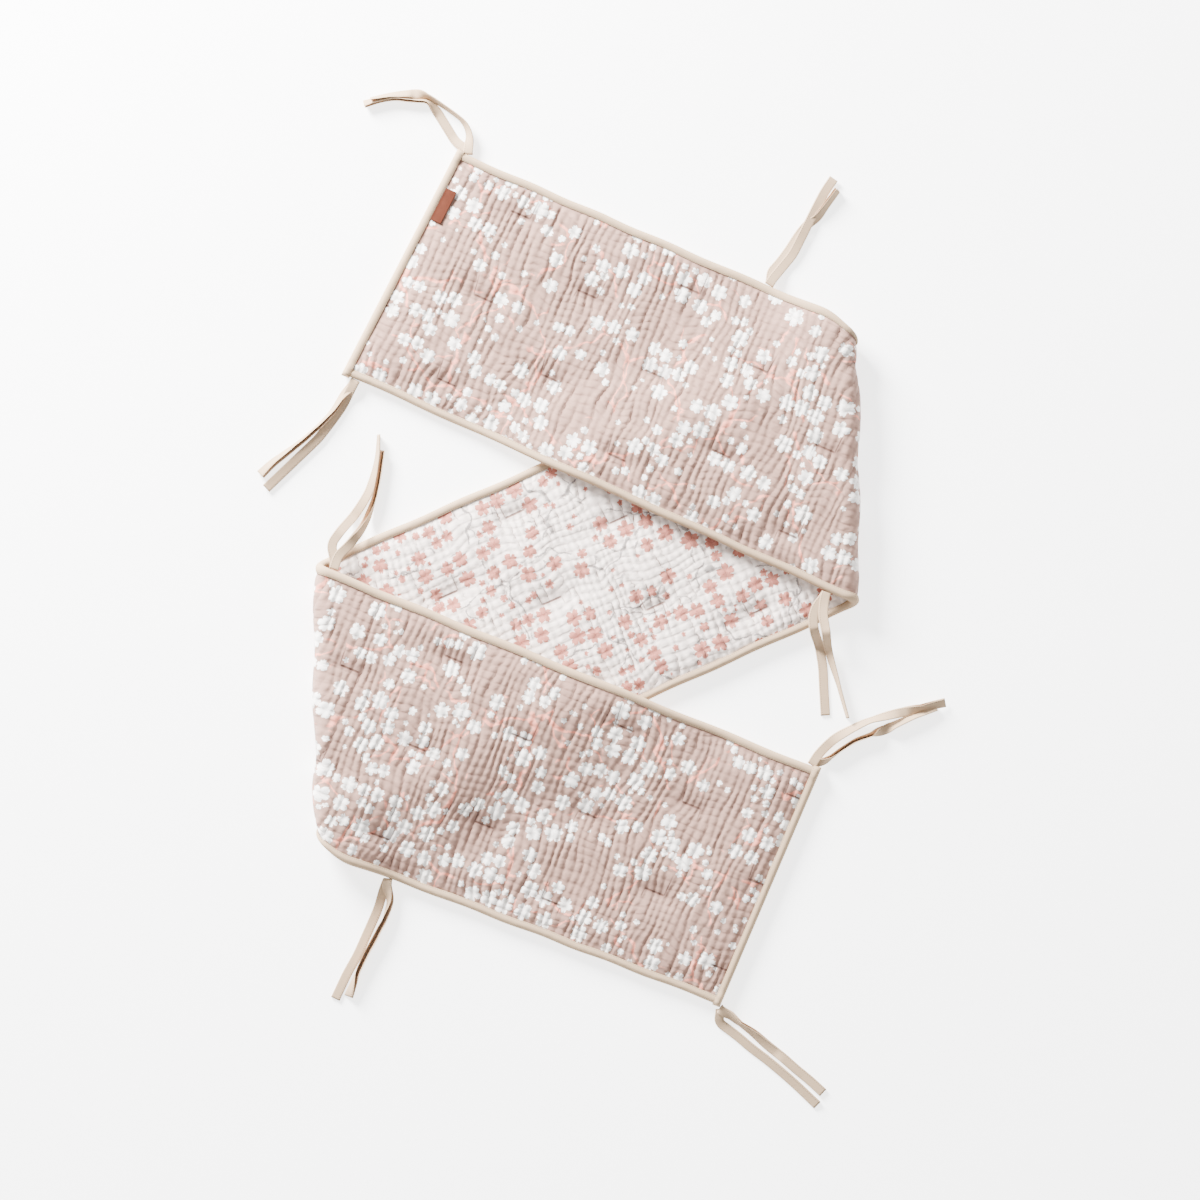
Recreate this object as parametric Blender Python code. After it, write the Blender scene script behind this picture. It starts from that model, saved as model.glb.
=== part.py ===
"""Crib bumper: a padded quilt strip folded back and forth twice, with bindings, ties and a tab."""

import bmesh
import bpy
import numpy as np

# Strip, in metres
OUTER_WIDTH = 0.306
CENTRE_LENGTH = 1.890
CROWN_HALF = 0.008
FOLD_CROWN_SHARE = 0.80
EDGE_HALF = 0.0025
BOUND_HALF = 0.0032
BOUND_DEPTH = 0.011
CROWN_REACH = 0.016
FLAT_SHARE = 1.35
REST_HEIGHT = CROWN_HALF

# Folds: the strip runs right, back left and right again about two bends
START_X = -0.2346
ORIGIN_X = 0.0011
ORIGIN_Y = 0.0056
FOLD_RADIUS = 0.011
RIGHT_BEND_X = 0.2898
LEFT_BEND_X = -0.3258
SLOPE_COS = 0.9171
SLOPE_TAN = 0.4347
START_HALF_SKEW = 0.0732
FINISH_HALF_SKEW = 0.0618
SKEW_REACH = 0.42
LAYER_RISE = 0.018
RISE_OUTSIDE = 0.090
RISE_INSIDE = 0.040
FOLD_REACH = 0.090
FOLD_WAVE = 0.0015
WAVE_PITCH = 0.111

# Height of the two long edges at four stations along the unfolded strip
EDGE_STATION = (-0.1500, 0.5417, 1.1919, 1.9000)
UPPER_EDGE_Y = (0.6241, 0.3282, 0.0438, -0.2465)
LOWER_EDGE_Y = (0.3028, -0.0090, -0.3018, -0.5730)

# Tacks: a staggered lattice of five rows
TACK_ROWS = 5
TACK_ROW_PITCH = 0.0555
TACK_PITCH = 0.222
TACK_FIRST = 0.102
TACK_LONG = 0.026
TACK_WIDE = 0.017
TACK_DEPTH = 0.62

# Binding and gaps between pieces
CLOTH = 0.0012
GAP = 0.0003
BINDING_COVER = 0.010
BINDING_WALL = GAP + CLOTH
END_COVER = BINDING_WALL + BINDING_COVER
END_OVERHANG = 0.002
EDGE_DRAW = 0.008

# Leather tab
TAB_FROM_CORNER = 0.048
TAB_LENGTH = 0.043
TAB_WIDTH = 0.014
TAB_THICK = 0.0016

# Ties
TAPE_WIDTH = 0.0105
TAPE_THICK = 0.0018
TAPE_LOOP = 0.0014
TAPE_STATIONS = 19
ROOT_GAP = 0.0005
FLOOR_GAP = 0.0002
DROP_LENGTH = 0.030

# Mesh stations
COLUMN_STEP = 0.0150
BEND_STEPS = 10
ROW_STEPS = 14

UPPER = "upper"
LOWER = "lower"
# root of each tie: edge, place along the centre line, way out in degrees, length before it drops
TIE_ROOTS = (
    ("tie_1", UPPER, 0.0000, 112.0, 0.000),
    ("tie_2", UPPER, 0.4740, 66.6, 0.000),
    ("tie_3", LOWER, 0.0125, -114.0, 0.000),
    ("tie_4", UPPER, 1.3250, 68.0, 0.036),
    ("tie_5", LOWER, 0.5480, -114.0, 0.040),
    ("tie_6", LOWER, 1.3960, -111.0, 0.000),
    ("tie_7", LOWER, 1.8900, -66.0, 0.000),
    ("tie_8", UPPER, 1.8775, 68.0, 0.000),
)
# each tail: length in mm, then its heading in degrees at 0.15, 0.45, 0.75 and 1.0 of it, then its roll at the tip
LOW_TAILS = {
    "tie_1": (148, 110, 143, 197, 196, 0),
    "tie_2": (143, 49, 66, 62, 53, 0),
    "tie_3": (173, -116, -132, -136, -137, 0),
    "tie_4": (171, 62, 50, 80, 89, 0),
    "tie_5": (150, -110, -62, -99, -74, 0),
    "tie_6": (159, -109, -113, -121, -112, 0),
    "tie_7": (165, -35, -40, -41, -45, 0),
    "tie_8": (155, 37, 17, 24, 25, 0),
}
HIGH_TAILS = {
    "tie_1": (167, 102, 149, 182, 197, 30),
    "tie_2": (139, 54, 46, 41, 70, 30),
    "tie_3": (155, -130, -138, -146, -124, -30),
    "tie_4": (163, 48, 62, 79, 84, 40),
    "tie_5": (145, -87, -71, -76, -73, 40),
    "tie_6": (151, -86, -127, -112, -111, 30),
    "tie_7": (161, -32, -41, -38, -46, -30),
    "tie_8": (183, 39, 21, 10, 15, 20),
}

# Unfolded stations of the two bends
BEND_LENGTH = np.pi * FOLD_RADIUS
RIGHT_IN = RIGHT_BEND_X - START_X
RIGHT_OUT = RIGHT_IN + BEND_LENGTH
LEFT_IN = RIGHT_OUT + RIGHT_BEND_X - LEFT_BEND_X
LEFT_OUT = LEFT_IN + BEND_LENGTH


def smooth(value):
    """An even step from 0 to 1."""
    clipped = np.clip(value, 0.0, 1.0)
    return clipped * clipped * (3.0 - 2.0 * clipped)


def unfolded(centre, across):
    """Station and height on the unfolded strip of points at a distance along it and across it."""
    share = 0.5 + across / OUTER_WIDTH
    start_skew = START_HALF_SKEW * (1.0 - smooth(centre / SKEW_REACH))
    finish_skew = FINISH_HALF_SKEW * (1.0 - smooth((CENTRE_LENGTH - centre) / SKEW_REACH))
    half_skew = start_skew + finish_skew
    middle = centre * SLOPE_COS
    low_station = middle - half_skew
    high_station = middle + half_skew
    low_y = np.interp(low_station, EDGE_STATION, LOWER_EDGE_Y)
    high_y = np.interp(high_station, EDGE_STATION, UPPER_EDGE_Y)
    station = low_station + (high_station - low_station) * share
    height = low_y + (high_y - low_y) * share
    return station, height


def inside_middle(x, y, edge_y, side):
    """Distance of points inside the middle section's edge, seen from above."""
    right_x = RIGHT_BEND_X + FOLD_RADIUS
    left_x = LEFT_BEND_X - FOLD_RADIUS
    slope = (edge_y[1] - edge_y[2]) / (right_x - left_x)
    line_y = edge_y[1] + slope * (x - right_x)
    return side * (line_y - y) / np.hypot(1.0, slope)


def lift(x, y, station):
    """How far a section has to rise over the middle one, from 0 to 1."""
    first = station < RIGHT_OUT
    depth_first = inside_middle(x, y, UPPER_EDGE_Y, 1.0)
    depth_last = inside_middle(x, y, LOWER_EDGE_Y, -1.0)
    depth = np.where(first, depth_first, depth_last)
    over = smooth((depth + RISE_OUTSIDE) / (RISE_OUTSIDE + RISE_INSIDE))
    from_bend = np.where(first, RIGHT_IN - station, station - LEFT_OUT)
    near = smooth(1.0 - from_bend / FOLD_REACH)
    return 1.0 - (1.0 - over) * (1.0 - near), near


def middle_surface(station, y):
    """Point and normal of the strip's middle surface where it is folded."""
    right_turn = np.clip((station - RIGHT_IN) / FOLD_RADIUS, 0.0, np.pi)
    left_turn = np.clip((station - LEFT_IN) / FOLD_RADIUS, 0.0, np.pi)
    wave = FOLD_WAVE * np.cos(2.0 * np.pi * y / WAVE_PITCH)
    first_x = START_X + np.minimum(station, RIGHT_IN)
    back = np.clip(station - RIGHT_OUT, 0.0, LEFT_IN - RIGHT_OUT)
    last = np.maximum(station - LEFT_OUT, 0.0)
    x = first_x - back + last
    x = x + (FOLD_RADIUS + wave) * np.sin(right_turn) - (FOLD_RADIUS + wave) * np.sin(left_turn)
    turned = np.cos(right_turn + left_turn)
    normal_x = np.sin(right_turn + left_turn)
    rise, near = lift(x, y, station)
    top = LAYER_RISE * rise + (2.0 * FOLD_RADIUS - LAYER_RISE) * near
    bend_rise = FOLD_RADIUS * (1.0 + turned)
    straight = (station <= RIGHT_IN) | (station >= LEFT_OUT)
    z = REST_HEIGHT + np.where(straight, top, bend_rise)
    return x, z, normal_x, turned


def tack_dip(along, across):
    """Share of the crown left beside the tacks, at distances measured square to the long edges."""
    left = np.ones(np.broadcast(along, across).shape)
    for row in range(TACK_ROWS):
        row_across = (0.5 * (TACK_ROWS - 1) - row) * TACK_ROW_PITCH
        shift = TACK_FIRST + 0.5 * TACK_PITCH * (row % 2)
        past = (along - shift + 0.5 * TACK_PITCH) % TACK_PITCH - 0.5 * TACK_PITCH
        reach = (past / TACK_LONG) ** 2 + ((across - row_across) / TACK_WIDE) ** 2
        left = left * (1.0 - TACK_DEPTH * np.exp(-reach))
    return left


def half_thickness(centre, across):
    """Half the thickness of the pad: bound edge, crown and tacks."""
    side = 0.5 * OUTER_WIDTH - BINDING_WALL - np.abs(across)
    end = np.minimum(centre, CENTRE_LENGTH - centre) - BINDING_WALL
    inset = np.maximum(np.minimum(side, end), 0.0)
    bound = EDGE_HALF + (BOUND_HALF - EDGE_HALF) * np.minimum(inset / BOUND_DEPTH, 1.0)
    cushion = 1.0 - np.exp(-np.maximum(inset - BOUND_DEPTH, 0.0) / CROWN_REACH)
    station, _ = unfolded(centre, across)
    right = np.abs(station - 0.5 * (RIGHT_IN + RIGHT_OUT))
    left = np.abs(station - 0.5 * (LEFT_IN + LEFT_OUT))
    folded = smooth(1.5 - np.minimum(right, left) / FOLD_REACH * 2.0)
    crown = CROWN_HALF * (1.0 - (1.0 - FOLD_CROWN_SHARE) * folded)
    along = station / SLOPE_COS - SLOPE_TAN * across
    return bound + (crown - BOUND_HALF) * cushion * tack_dip(along, across)


def place(centre, across, layer, extra):
    """Positions of points on the face (layer 1) or reverse (layer -1), an extra height above it."""
    centre, across = np.broadcast_arrays(centre, across)
    draw = EDGE_DRAW * (0.5 - 0.5 * np.cos(2.0 * np.pi * centre / WAVE_PITCH))
    station, y = unfolded(centre, across * (1.0 - draw))
    x, z, normal_x, normal_z = middle_surface(station, y)
    half = half_thickness(centre, across)
    flattened = np.minimum(half * FLAT_SHARE, CROWN_HALF)
    bound = half <= BOUND_HALF + GAP
    under = smooth(0.5 - layer * normal_z * 2.0)
    half = np.where(bound, half, half + (np.maximum(flattened, half) - half) * under)
    offset = layer * (half + extra)
    return np.stack([x + normal_x * offset, y, z + normal_z * offset], axis=-1)


def make_slab(name, upper, lower, material, collection):
    """A closed slab from a grid solidified by one step, its points set from two layers of positions."""
    columns, rows = upper.shape[:2]
    mesh = bpy.data.meshes.new(name)
    work = bmesh.new()
    size = 0.5
    bmesh.ops.create_grid(work, x_segments=columns - 1, y_segments=rows - 1, size=size)
    bmesh.ops.solidify(work, geom=list(work.faces), thickness=size)
    for vert in work.verts:
        column = round((vert.co.x + size) * (columns - 1))
        row = round((vert.co.y + size) * (rows - 1))
        layer = upper if abs(vert.co.z) < 0.5 * size else lower
        vert.co = layer[column, row]
    bmesh.ops.triangulate(work, faces=list(work.faces), quad_method="FIXED")
    bmesh.ops.recalc_face_normals(work, faces=list(work.faces))
    work.to_mesh(mesh)
    work.free()
    mesh.materials.append(material)
    part = bpy.data.objects.new(name, mesh)
    part.location = (-ORIGIN_X, -ORIGIN_Y, 0.0)
    collection.objects.link(part)
    return part


def column_stations():
    """Distances along the centre line: both ends, even steps, and close steps round the bends."""
    ends = (BINDING_WALL, BINDING_WALL + BOUND_DEPTH)
    bends = []
    for turn_in in (RIGHT_IN, LEFT_IN):
        bends.append(np.linspace(turn_in, turn_in + BEND_LENGTH, BEND_STEPS + 1) / SLOPE_COS)
    spans = (
        (ends[1], bends[0][0]),
        (bends[0][-1], bends[1][0]),
        (bends[1][-1], CENTRE_LENGTH - ends[1]),
    )
    stations = [np.array([ends[0]])]
    for index, (low, high) in enumerate(spans):
        steps = round((high - low) / COLUMN_STEP)
        stations.append(np.linspace(low, high, steps + 1))
        if index < len(bends):
            stations.append(bends[index][1:-1])
    stations.append(np.array([CENTRE_LENGTH - ends[0]]))
    return np.concatenate(stations)


def row_stations():
    """Distances across the strip: its edges, the depth of the binding, and even steps."""
    edge = 0.5 * OUTER_WIDTH - BINDING_WALL
    inner = edge - BOUND_DEPTH
    return np.concatenate([[-edge], np.linspace(-inner, inner, ROW_STEPS + 1), [edge]])


def make_pad(material, collection):
    """The filled strip."""
    centre = column_stations()[:, None]
    across = row_stations()[None, :]
    face = place(centre, across, 1.0, 0.0)
    reverse = place(centre, across, -1.0, 0.0)
    return make_slab("bumper_pad", face, reverse, material, collection)


def channel(at_edge, layers):
    """Positions of a binding's section: cover, wall and cover again, as (layer, inset, extra) rows."""
    return np.stack([at_edge(layer, inset, extra) for layer, inset, extra in layers], axis=1)


def channel_layers(outer):
    """Rows of the binding's section for its outer or its inner face."""
    extra = GAP + CLOTH if outer else GAP
    wall = -BINDING_WALL if outer else -GAP
    return (
        (1.0, BINDING_COVER, extra),
        (1.0, wall, extra),
        (-1.0, wall, extra),
        (-1.0, BINDING_COVER, extra),
    )


def make_long_binding(name, side, material, collection):
    """The binding of one long edge, between the two end bindings."""
    stations = column_stations()
    first = END_COVER + GAP
    middle = stations[(stations > first + GAP) & (stations < CENTRE_LENGTH - first - GAP)]
    centre = np.concatenate([[first], middle, [CENTRE_LENGTH - first]])
    edge = 0.5 * OUTER_WIDTH - BINDING_WALL

    def at_edge(layer, inset, extra):
        return place(centre, side * (edge - inset), layer, extra)

    outer = channel(at_edge, channel_layers(True))
    inner = channel(at_edge, channel_layers(False))
    return make_slab(name, outer, inner, material, collection)


def make_end_binding(name, start, material, collection):
    """The binding of one end, standing a little past the long edges."""
    rows = row_stations()
    past = 0.5 * OUTER_WIDTH + END_OVERHANG
    across = np.concatenate([[-past], rows, [past]])

    def at_edge(layer, inset, extra):
        distance = BINDING_WALL + inset
        centre = distance if start else CENTRE_LENGTH - distance
        return place(centre, across, layer, extra)

    outer = channel(at_edge, channel_layers(True))
    inner = channel(at_edge, channel_layers(False))
    return make_slab(name, outer, inner, material, collection)


def make_tab(material, collection):
    """The bare leather tab against the first end's binding, on the face."""
    centre = np.linspace(END_COVER + GAP, END_COVER + GAP + TAB_WIDTH, 4)[:, None]
    top = 0.5 * OUTER_WIDTH - TAB_FROM_CORNER
    across = np.linspace(top - TAB_LENGTH, top, 7)[None, :]
    upper = place(centre, across, 1.0, 2.0 * GAP + TAB_THICK)
    lower = place(centre, across, 1.0, 2.0 * GAP)
    return make_slab("leather_tab", upper, lower, material, collection)


def tie_root(edge, centre, way_out):
    """Where a tie leaves the binding, and how high."""
    at_corner = min(centre, CENTRE_LENGTH - centre) < BINDING_WALL
    past = END_OVERHANG if at_corner else 0.0
    across = (0.5 * OUTER_WIDTH + past) * (1.0 if edge == UPPER else -1.0)
    at_edge = np.array([place(centre, across, layer, 0.0) for layer in (1.0, -1.0)]).mean(axis=0)
    out = np.array([np.cos(way_out), np.sin(way_out)])
    return at_edge[:2] + out * (ROOT_GAP + TAPE_LOOP + TAPE_THICK * 0.5), at_edge[2]


def tail_path(root, root_height, way_out, tail, level, base_level, drop_from):
    """Centres and side directions along one tail, from the loop at its root to its tip."""
    length, *headings, roll = tail
    share = np.linspace(0.0, 1.0, TAPE_STATIONS)
    heading = np.interp(share, (0.0, 0.15, 0.45, 0.75, 1.0), (way_out, *np.radians(headings)))
    step = length * 0.001 / (TAPE_STATIONS - 1)
    middle = 0.5 * (heading[1:] + heading[:-1])
    x = root[0] + np.concatenate([[0.0], np.cumsum(np.cos(middle))]) * step
    y = root[1] + np.concatenate([[0.0], np.cumsum(np.sin(middle))]) * step
    turn = np.radians(roll) * smooth((share - 0.35) / 0.65)
    raised = 0.5 * TAPE_WIDTH * np.abs(np.sin(turn))
    along = share * length * 0.001
    fall = smooth((along - drop_from) / DROP_LENGTH)
    z = root_height + base_level + (level - root_height - base_level) * fall + raised
    side = np.stack([-np.sin(heading) * np.cos(turn), np.cos(heading) * np.cos(turn), np.sin(turn)], axis=-1)
    ahead = np.stack([np.cos(heading), np.sin(heading), np.zeros_like(heading)], axis=-1)
    return np.stack([x, y, z], axis=-1), side, ahead


def make_tie(name, edge, centre, way_out_degrees, drop_from, material, collection):
    """One folded tape: both tails and the small loop at the binding, as one ribbon."""
    way_out = np.radians(way_out_degrees)
    root, height = tie_root(edge, centre, way_out)
    floor = FLOOR_GAP + 0.5 * TAPE_THICK
    high_floor = floor + 2.0 * TAPE_LOOP
    low = tail_path(root, height, way_out, LOW_TAILS[name], floor, -TAPE_LOOP, drop_from)
    high = tail_path(root, height, way_out, HIGH_TAILS[name], high_floor, TAPE_LOOP, drop_from)
    turn = np.linspace(-0.5 * np.pi, 0.5 * np.pi, 5)[1:-1]
    out = np.array([np.cos(way_out), np.sin(way_out), 0.0])
    up = np.array([0.0, 0.0, 1.0])
    back = (-np.cos(turn))[:, None] * out * TAPE_LOOP
    loop = np.append(root, height) + back + np.sin(turn)[:, None] * up * TAPE_LOOP
    loop_ahead = np.sin(turn)[:, None] * out + np.cos(turn)[:, None] * up
    centres = np.concatenate([low[0][::-1], loop, high[0]])
    sides = np.concatenate([low[1][::-1], np.repeat(high[1][:1], len(turn), axis=0), high[1]])
    ahead = np.concatenate([-low[2][::-1], loop_ahead, high[2]])
    normal = np.cross(ahead, sides)
    normal = normal / np.linalg.norm(normal, axis=1, keepdims=True)
    reach = np.array([-0.5, 0.0, 0.5])[None, :, None] * TAPE_WIDTH
    middle = centres[:, None, :] + sides[:, None, :] * reach
    shift = normal[:, None, :] * 0.5 * TAPE_THICK
    return make_slab(name, middle + shift, middle - shift, material, collection)


def make_material(name, color, roughness):
    """A plain Principled finish."""
    material = bpy.data.materials.new(name)
    material.use_nodes = True
    shader = material.node_tree.nodes["Principled BSDF"]
    shader.inputs["Base Color"].default_value = (*color, 1.0)
    shader.inputs["Roughness"].default_value = roughness
    shader.inputs["Metallic"].default_value = 0.0
    return material


def main():
    """Clear the scene and build every piece."""
    for item in list(bpy.data.objects):
        bpy.data.objects.remove(item)
    collection = bpy.data.collections.new("crib_bumper")
    bpy.context.scene.collection.children.link(collection)
    print_cloth = make_material("print_cloth", (0.60, 0.48, 0.44), 0.92)
    trim_cloth = make_material("trim_cloth", (0.73, 0.64, 0.54), 0.90)
    leather = make_material("leather", (0.38, 0.11, 0.06), 0.55)
    make_pad(print_cloth, collection)
    make_long_binding("binding_upper", 1.0, trim_cloth, collection)
    make_long_binding("binding_lower", -1.0, trim_cloth, collection)
    make_end_binding("binding_start", True, trim_cloth, collection)
    make_end_binding("binding_finish", False, trim_cloth, collection)
    make_tab(leather, collection)
    for name, edge, centre, way_out, drop_from in TIE_ROOTS:
        make_tie(name, edge, centre, way_out, drop_from, trim_cloth, collection)


main()
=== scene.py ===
"""Crib bumper: the looks of a quilted strip folded back and forth, with its bindings, ties and tab.

The strip is worked out flat, as distances along it and across it, and then bent about two folds.
Every piece is a grid surface in the CAD model's own frame, in metres, with +Z towards the camera.
"""

from __future__ import annotations

import logging
from dataclasses import dataclass, field
from enum import Enum

import bpy
import numpy as np
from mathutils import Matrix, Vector

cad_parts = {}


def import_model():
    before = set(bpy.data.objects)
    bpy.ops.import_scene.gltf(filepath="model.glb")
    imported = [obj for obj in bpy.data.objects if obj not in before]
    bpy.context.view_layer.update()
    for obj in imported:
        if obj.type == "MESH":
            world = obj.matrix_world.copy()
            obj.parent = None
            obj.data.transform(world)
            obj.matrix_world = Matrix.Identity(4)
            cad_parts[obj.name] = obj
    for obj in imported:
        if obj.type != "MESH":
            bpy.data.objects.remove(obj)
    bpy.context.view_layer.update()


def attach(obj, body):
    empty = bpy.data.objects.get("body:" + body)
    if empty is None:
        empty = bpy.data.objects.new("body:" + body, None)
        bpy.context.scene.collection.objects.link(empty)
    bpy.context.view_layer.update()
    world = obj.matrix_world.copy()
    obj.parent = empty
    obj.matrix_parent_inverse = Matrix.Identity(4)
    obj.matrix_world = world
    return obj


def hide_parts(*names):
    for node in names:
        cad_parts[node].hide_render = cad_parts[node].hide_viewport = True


LOG = logging.getLogger("crib_bumper")
MM = 0.001
ROOT_BODY = "root"
FULL_TURN = 6.2832
MIDDLE = (0.5, 0.5, 0.5)
FLOOR_GAP = 0.0001

Array = np.ndarray
Colour = tuple[float, float, float]


class Side(Enum):
    """The two faces of the strip: the value is the way its normal points."""

    FACE = 1.0
    REVERSE = -1.0


class Edge(Enum):
    """The two long edges of the strip: the value is the way across that leads to each."""

    UPPER = 1.0
    LOWER = -1.0


def smooth(value: Array) -> Array:
    """An even step from 0 to 1: 3 t squared less 2 t cubed, held outside that range."""
    held = np.clip(value, 0.0, 1.0)
    return held * held * (3.0 - 2.0 * held)


def distances(points: Array) -> Array:
    """Distance along a line of points, from its first to each."""
    return np.concatenate([[0.0], np.cumsum(np.linalg.norm(np.diff(points, axis=0), axis=-1))])


def toned(colour: Colour, share: float) -> tuple[float, float, float, float]:
    """A colour made lighter or darker."""
    return (colour[0] * share, colour[1] * share, colour[2] * share, 1.0)


@dataclass(frozen=True)
class SoftNoise:
    """Smooth random relief: a table of values from -1 to 1, blended between its points."""

    seed: int
    size: int = 128

    def __call__(self, first: Array, second: Array) -> Array:
        """Value at two coordinates, each in table steps.

        Args:
            first: Coordinate along the table's rows.
            second: Coordinate along its columns.

        Returns:
            The blend of the four nearest table values, by smooth steps.
        """
        table = np.random.default_rng(self.seed).uniform(-1.0, 1.0, (self.size, self.size))
        low_first = np.floor(first)
        low_second = np.floor(second)
        part_first = smooth(first - low_first)
        part_second = smooth(second - low_second)
        row = low_first.astype(int) % self.size
        column = low_second.astype(int) % self.size
        next_row = (row + 1) % self.size
        next_column = (column + 1) % self.size
        lower = table[row, column] * (1.0 - part_second) + table[row, next_column] * part_second
        upper = table[next_row, column] * (1.0 - part_second) + table[next_row, next_column] * part_second
        return lower * (1.0 - part_first) + upper * part_first


@dataclass(frozen=True)
class FoldedStrip:
    """The course of the strip: where a point a distance along it and across it lies when it is folded."""

    width: float = 0.306
    length: float = 1.890
    start_x: float = -0.2346
    origin_x: float = 0.0011
    origin_y: float = 0.0056
    fold_radius: float = 0.011
    right_bend_x: float = 0.2898
    left_bend_x: float = -0.3258
    slope_cos: float = 0.9171
    start_half_skew: float = 0.0690
    start_shift: float = -0.0074
    finish_half_skew: float = 0.0603
    finish_shift: float = 0.0042
    skew_reach: float = 0.42
    layer_rise: float = 0.018
    rise_outside: float = 0.090
    rise_inside: float = 0.040
    fold_reach: float = 0.090
    fold_wave: float = 0.0015
    wave_pitch: float = 0.111
    edge_draw: float = 0.008
    corner_nip: float = 0.020
    nip_reach: float = 0.046
    nip_power: float = 4.0
    nip_past: float = 1.05
    rest_height: float = 0.008
    edge_station: tuple[float, ...] = (-0.1500, 0.5417, 1.1919, 1.9000)
    upper_edge_y: tuple[float, ...] = (0.6286, 0.3292, 0.0438, -0.2465)
    lower_edge_y: tuple[float, ...] = (0.3028, -0.0090, -0.3018, -0.5730)

    @property
    def bend_length(self) -> float:
        """Length of cloth in one half turn."""
        return np.pi * self.fold_radius

    @property
    def right_in(self) -> float:
        """Unfolded station where the right fold begins."""
        return self.right_bend_x - self.start_x

    @property
    def right_out(self) -> float:
        """Unfolded station where the right fold ends."""
        return self.right_in + self.bend_length

    @property
    def left_in(self) -> float:
        """Unfolded station where the left fold begins."""
        return self.right_out + self.right_bend_x - self.left_bend_x

    @property
    def left_out(self) -> float:
        """Unfolded station where the left fold ends."""
        return self.left_in + self.bend_length

    def unfolded(self, centre: Array, across: Array) -> tuple[Array, Array]:
        """Station and height on the unfolded strip: straight lines drawn between its two long edges.

        The edge is nipped in at the outline's fold corners, by the square of the closeness to the fold.

        Args:
            centre: Distance along the centre line.
            across: Distance from the centre line, towards the upper edge.

        Returns:
            The station along the photographed horizontal and the height up the page.
        """
        share = 0.5 + across / self.width
        start = 1.0 - smooth(centre / self.skew_reach)
        finish = 1.0 - smooth((self.length - centre) / self.skew_reach)
        skew = self.start_half_skew * start + self.finish_half_skew * finish
        middle = centre * self.slope_cos + self.start_shift * start + self.finish_shift * finish
        low_station = middle - skew
        high_station = middle + skew
        low_y = np.interp(low_station, self.edge_station, self.lower_edge_y)
        high_y = np.interp(high_station, self.edge_station, self.upper_edge_y)
        station = low_station + (high_station - low_station) * share
        right = self.near_fold(station, self.right_in)
        left = self.near_fold(station, self.left_in)
        upper = np.clip(2.0 * share - 1.0, 0.0, self.nip_past) ** self.nip_power
        lower = np.clip(1.0 - 2.0 * share, 0.0, self.nip_past) ** self.nip_power
        nip = self.corner_nip * (left**2 * lower - right**2 * upper)
        return station, low_y + (high_y - low_y) * share + nip

    def near_fold(self, station: Array, begins: float) -> Array:
        """Closeness, from 0 to 1, to the crown of the fold that begins at a station."""
        return np.clip(1.0 - np.abs(station - begins - 0.5 * self.bend_length) / self.nip_reach, 0.0, 1.0)

    def inside_middle(self, x: Array, y: Array, edge: Edge) -> Array:
        """Distance of points inside the middle section's edge, as seen from above.

        Args:
            x: Positions across the page.
            y: Positions up the page.
            edge: The edge of the middle section that is meant.

        Returns:
            Distances, negative outside the middle section.
        """
        heights = self.upper_edge_y if edge is Edge.UPPER else self.lower_edge_y
        right_x = self.right_bend_x + self.fold_radius
        left_x = self.left_bend_x - self.fold_radius
        slope = (heights[1] - heights[2]) / (right_x - left_x)
        line_y = heights[1] + slope * (x - right_x)
        return edge.value * (line_y - y) / np.hypot(1.0, slope)

    def middle_surface(self, station: Array, y: Array) -> tuple[Array, Array, Array, Array]:
        """The bent middle surface: flat runs joined by half circles, raised where it lies on the middle run.

        Args:
            station: Unfolded stations.
            y: Heights up the page.

        Returns:
            x, z, and the x and z parts of the normal.
        """
        right_turn = np.clip((station - self.right_in) / self.fold_radius, 0.0, np.pi)
        left_turn = np.clip((station - self.left_in) / self.fold_radius, 0.0, np.pi)
        radius = self.fold_radius + self.fold_wave * np.cos(2.0 * np.pi * y / self.wave_pitch)
        back = np.clip(station - self.right_out, 0.0, self.left_in - self.right_out)
        x = self.start_x + np.minimum(station, self.right_in) - back
        x = x + np.maximum(station - self.left_out, 0.0) + radius * (np.sin(right_turn) - np.sin(left_turn))
        first = station < self.right_out
        depth_first = self.inside_middle(x, y, Edge.UPPER)
        depth_last = self.inside_middle(x, y, Edge.LOWER)
        depth = np.where(first, depth_first, depth_last)
        over = smooth((depth + self.rise_outside) / (self.rise_outside + self.rise_inside))
        from_bend = np.where(first, self.right_in - station, station - self.left_out)
        near = smooth(1.0 - from_bend / self.fold_reach)
        rise = 1.0 - (1.0 - over) * (1.0 - near)
        top = self.layer_rise * rise + (2.0 * self.fold_radius - self.layer_rise) * near
        turned = np.cos(right_turn + left_turn)
        straight = (station <= self.right_in) | (station >= self.left_out)
        z = self.rest_height + np.where(straight, top, self.fold_radius * (1.0 + turned))
        return x, z, np.sin(right_turn + left_turn), turned

    def lay(self, centre: Array, across: Array, offset: Array) -> Array:
        """Folded positions of points at a height off the middle surface, along its normal.

        Args:
            centre: Distance along the centre line.
            across: Distance from the centre line.
            offset: Height off the middle surface, towards the printed face.

        Returns:
            Positions with a last axis of x, y and z.
        """
        centre, across, offset = np.broadcast_arrays(centre, across, offset)
        draw = self.edge_draw * (0.5 - 0.5 * np.cos(2.0 * np.pi * centre / self.wave_pitch))
        station, y = self.unfolded(centre, across * (1.0 - draw))
        x, z, normal_x, normal_z = self.middle_surface(station, y)
        place = (x + normal_x * offset - self.origin_x, y - self.origin_y, z + normal_z * offset)
        return np.stack(place, axis=-1)

    def along(self, centre: Array, across: Array) -> Array:
        """Distance along the cloth, measured square to its long edges."""
        station, _ = self.unfolded(centre, across)
        return station / self.slope_cos - across * np.sqrt(1.0 / self.slope_cos**2 - 1.0)

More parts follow.
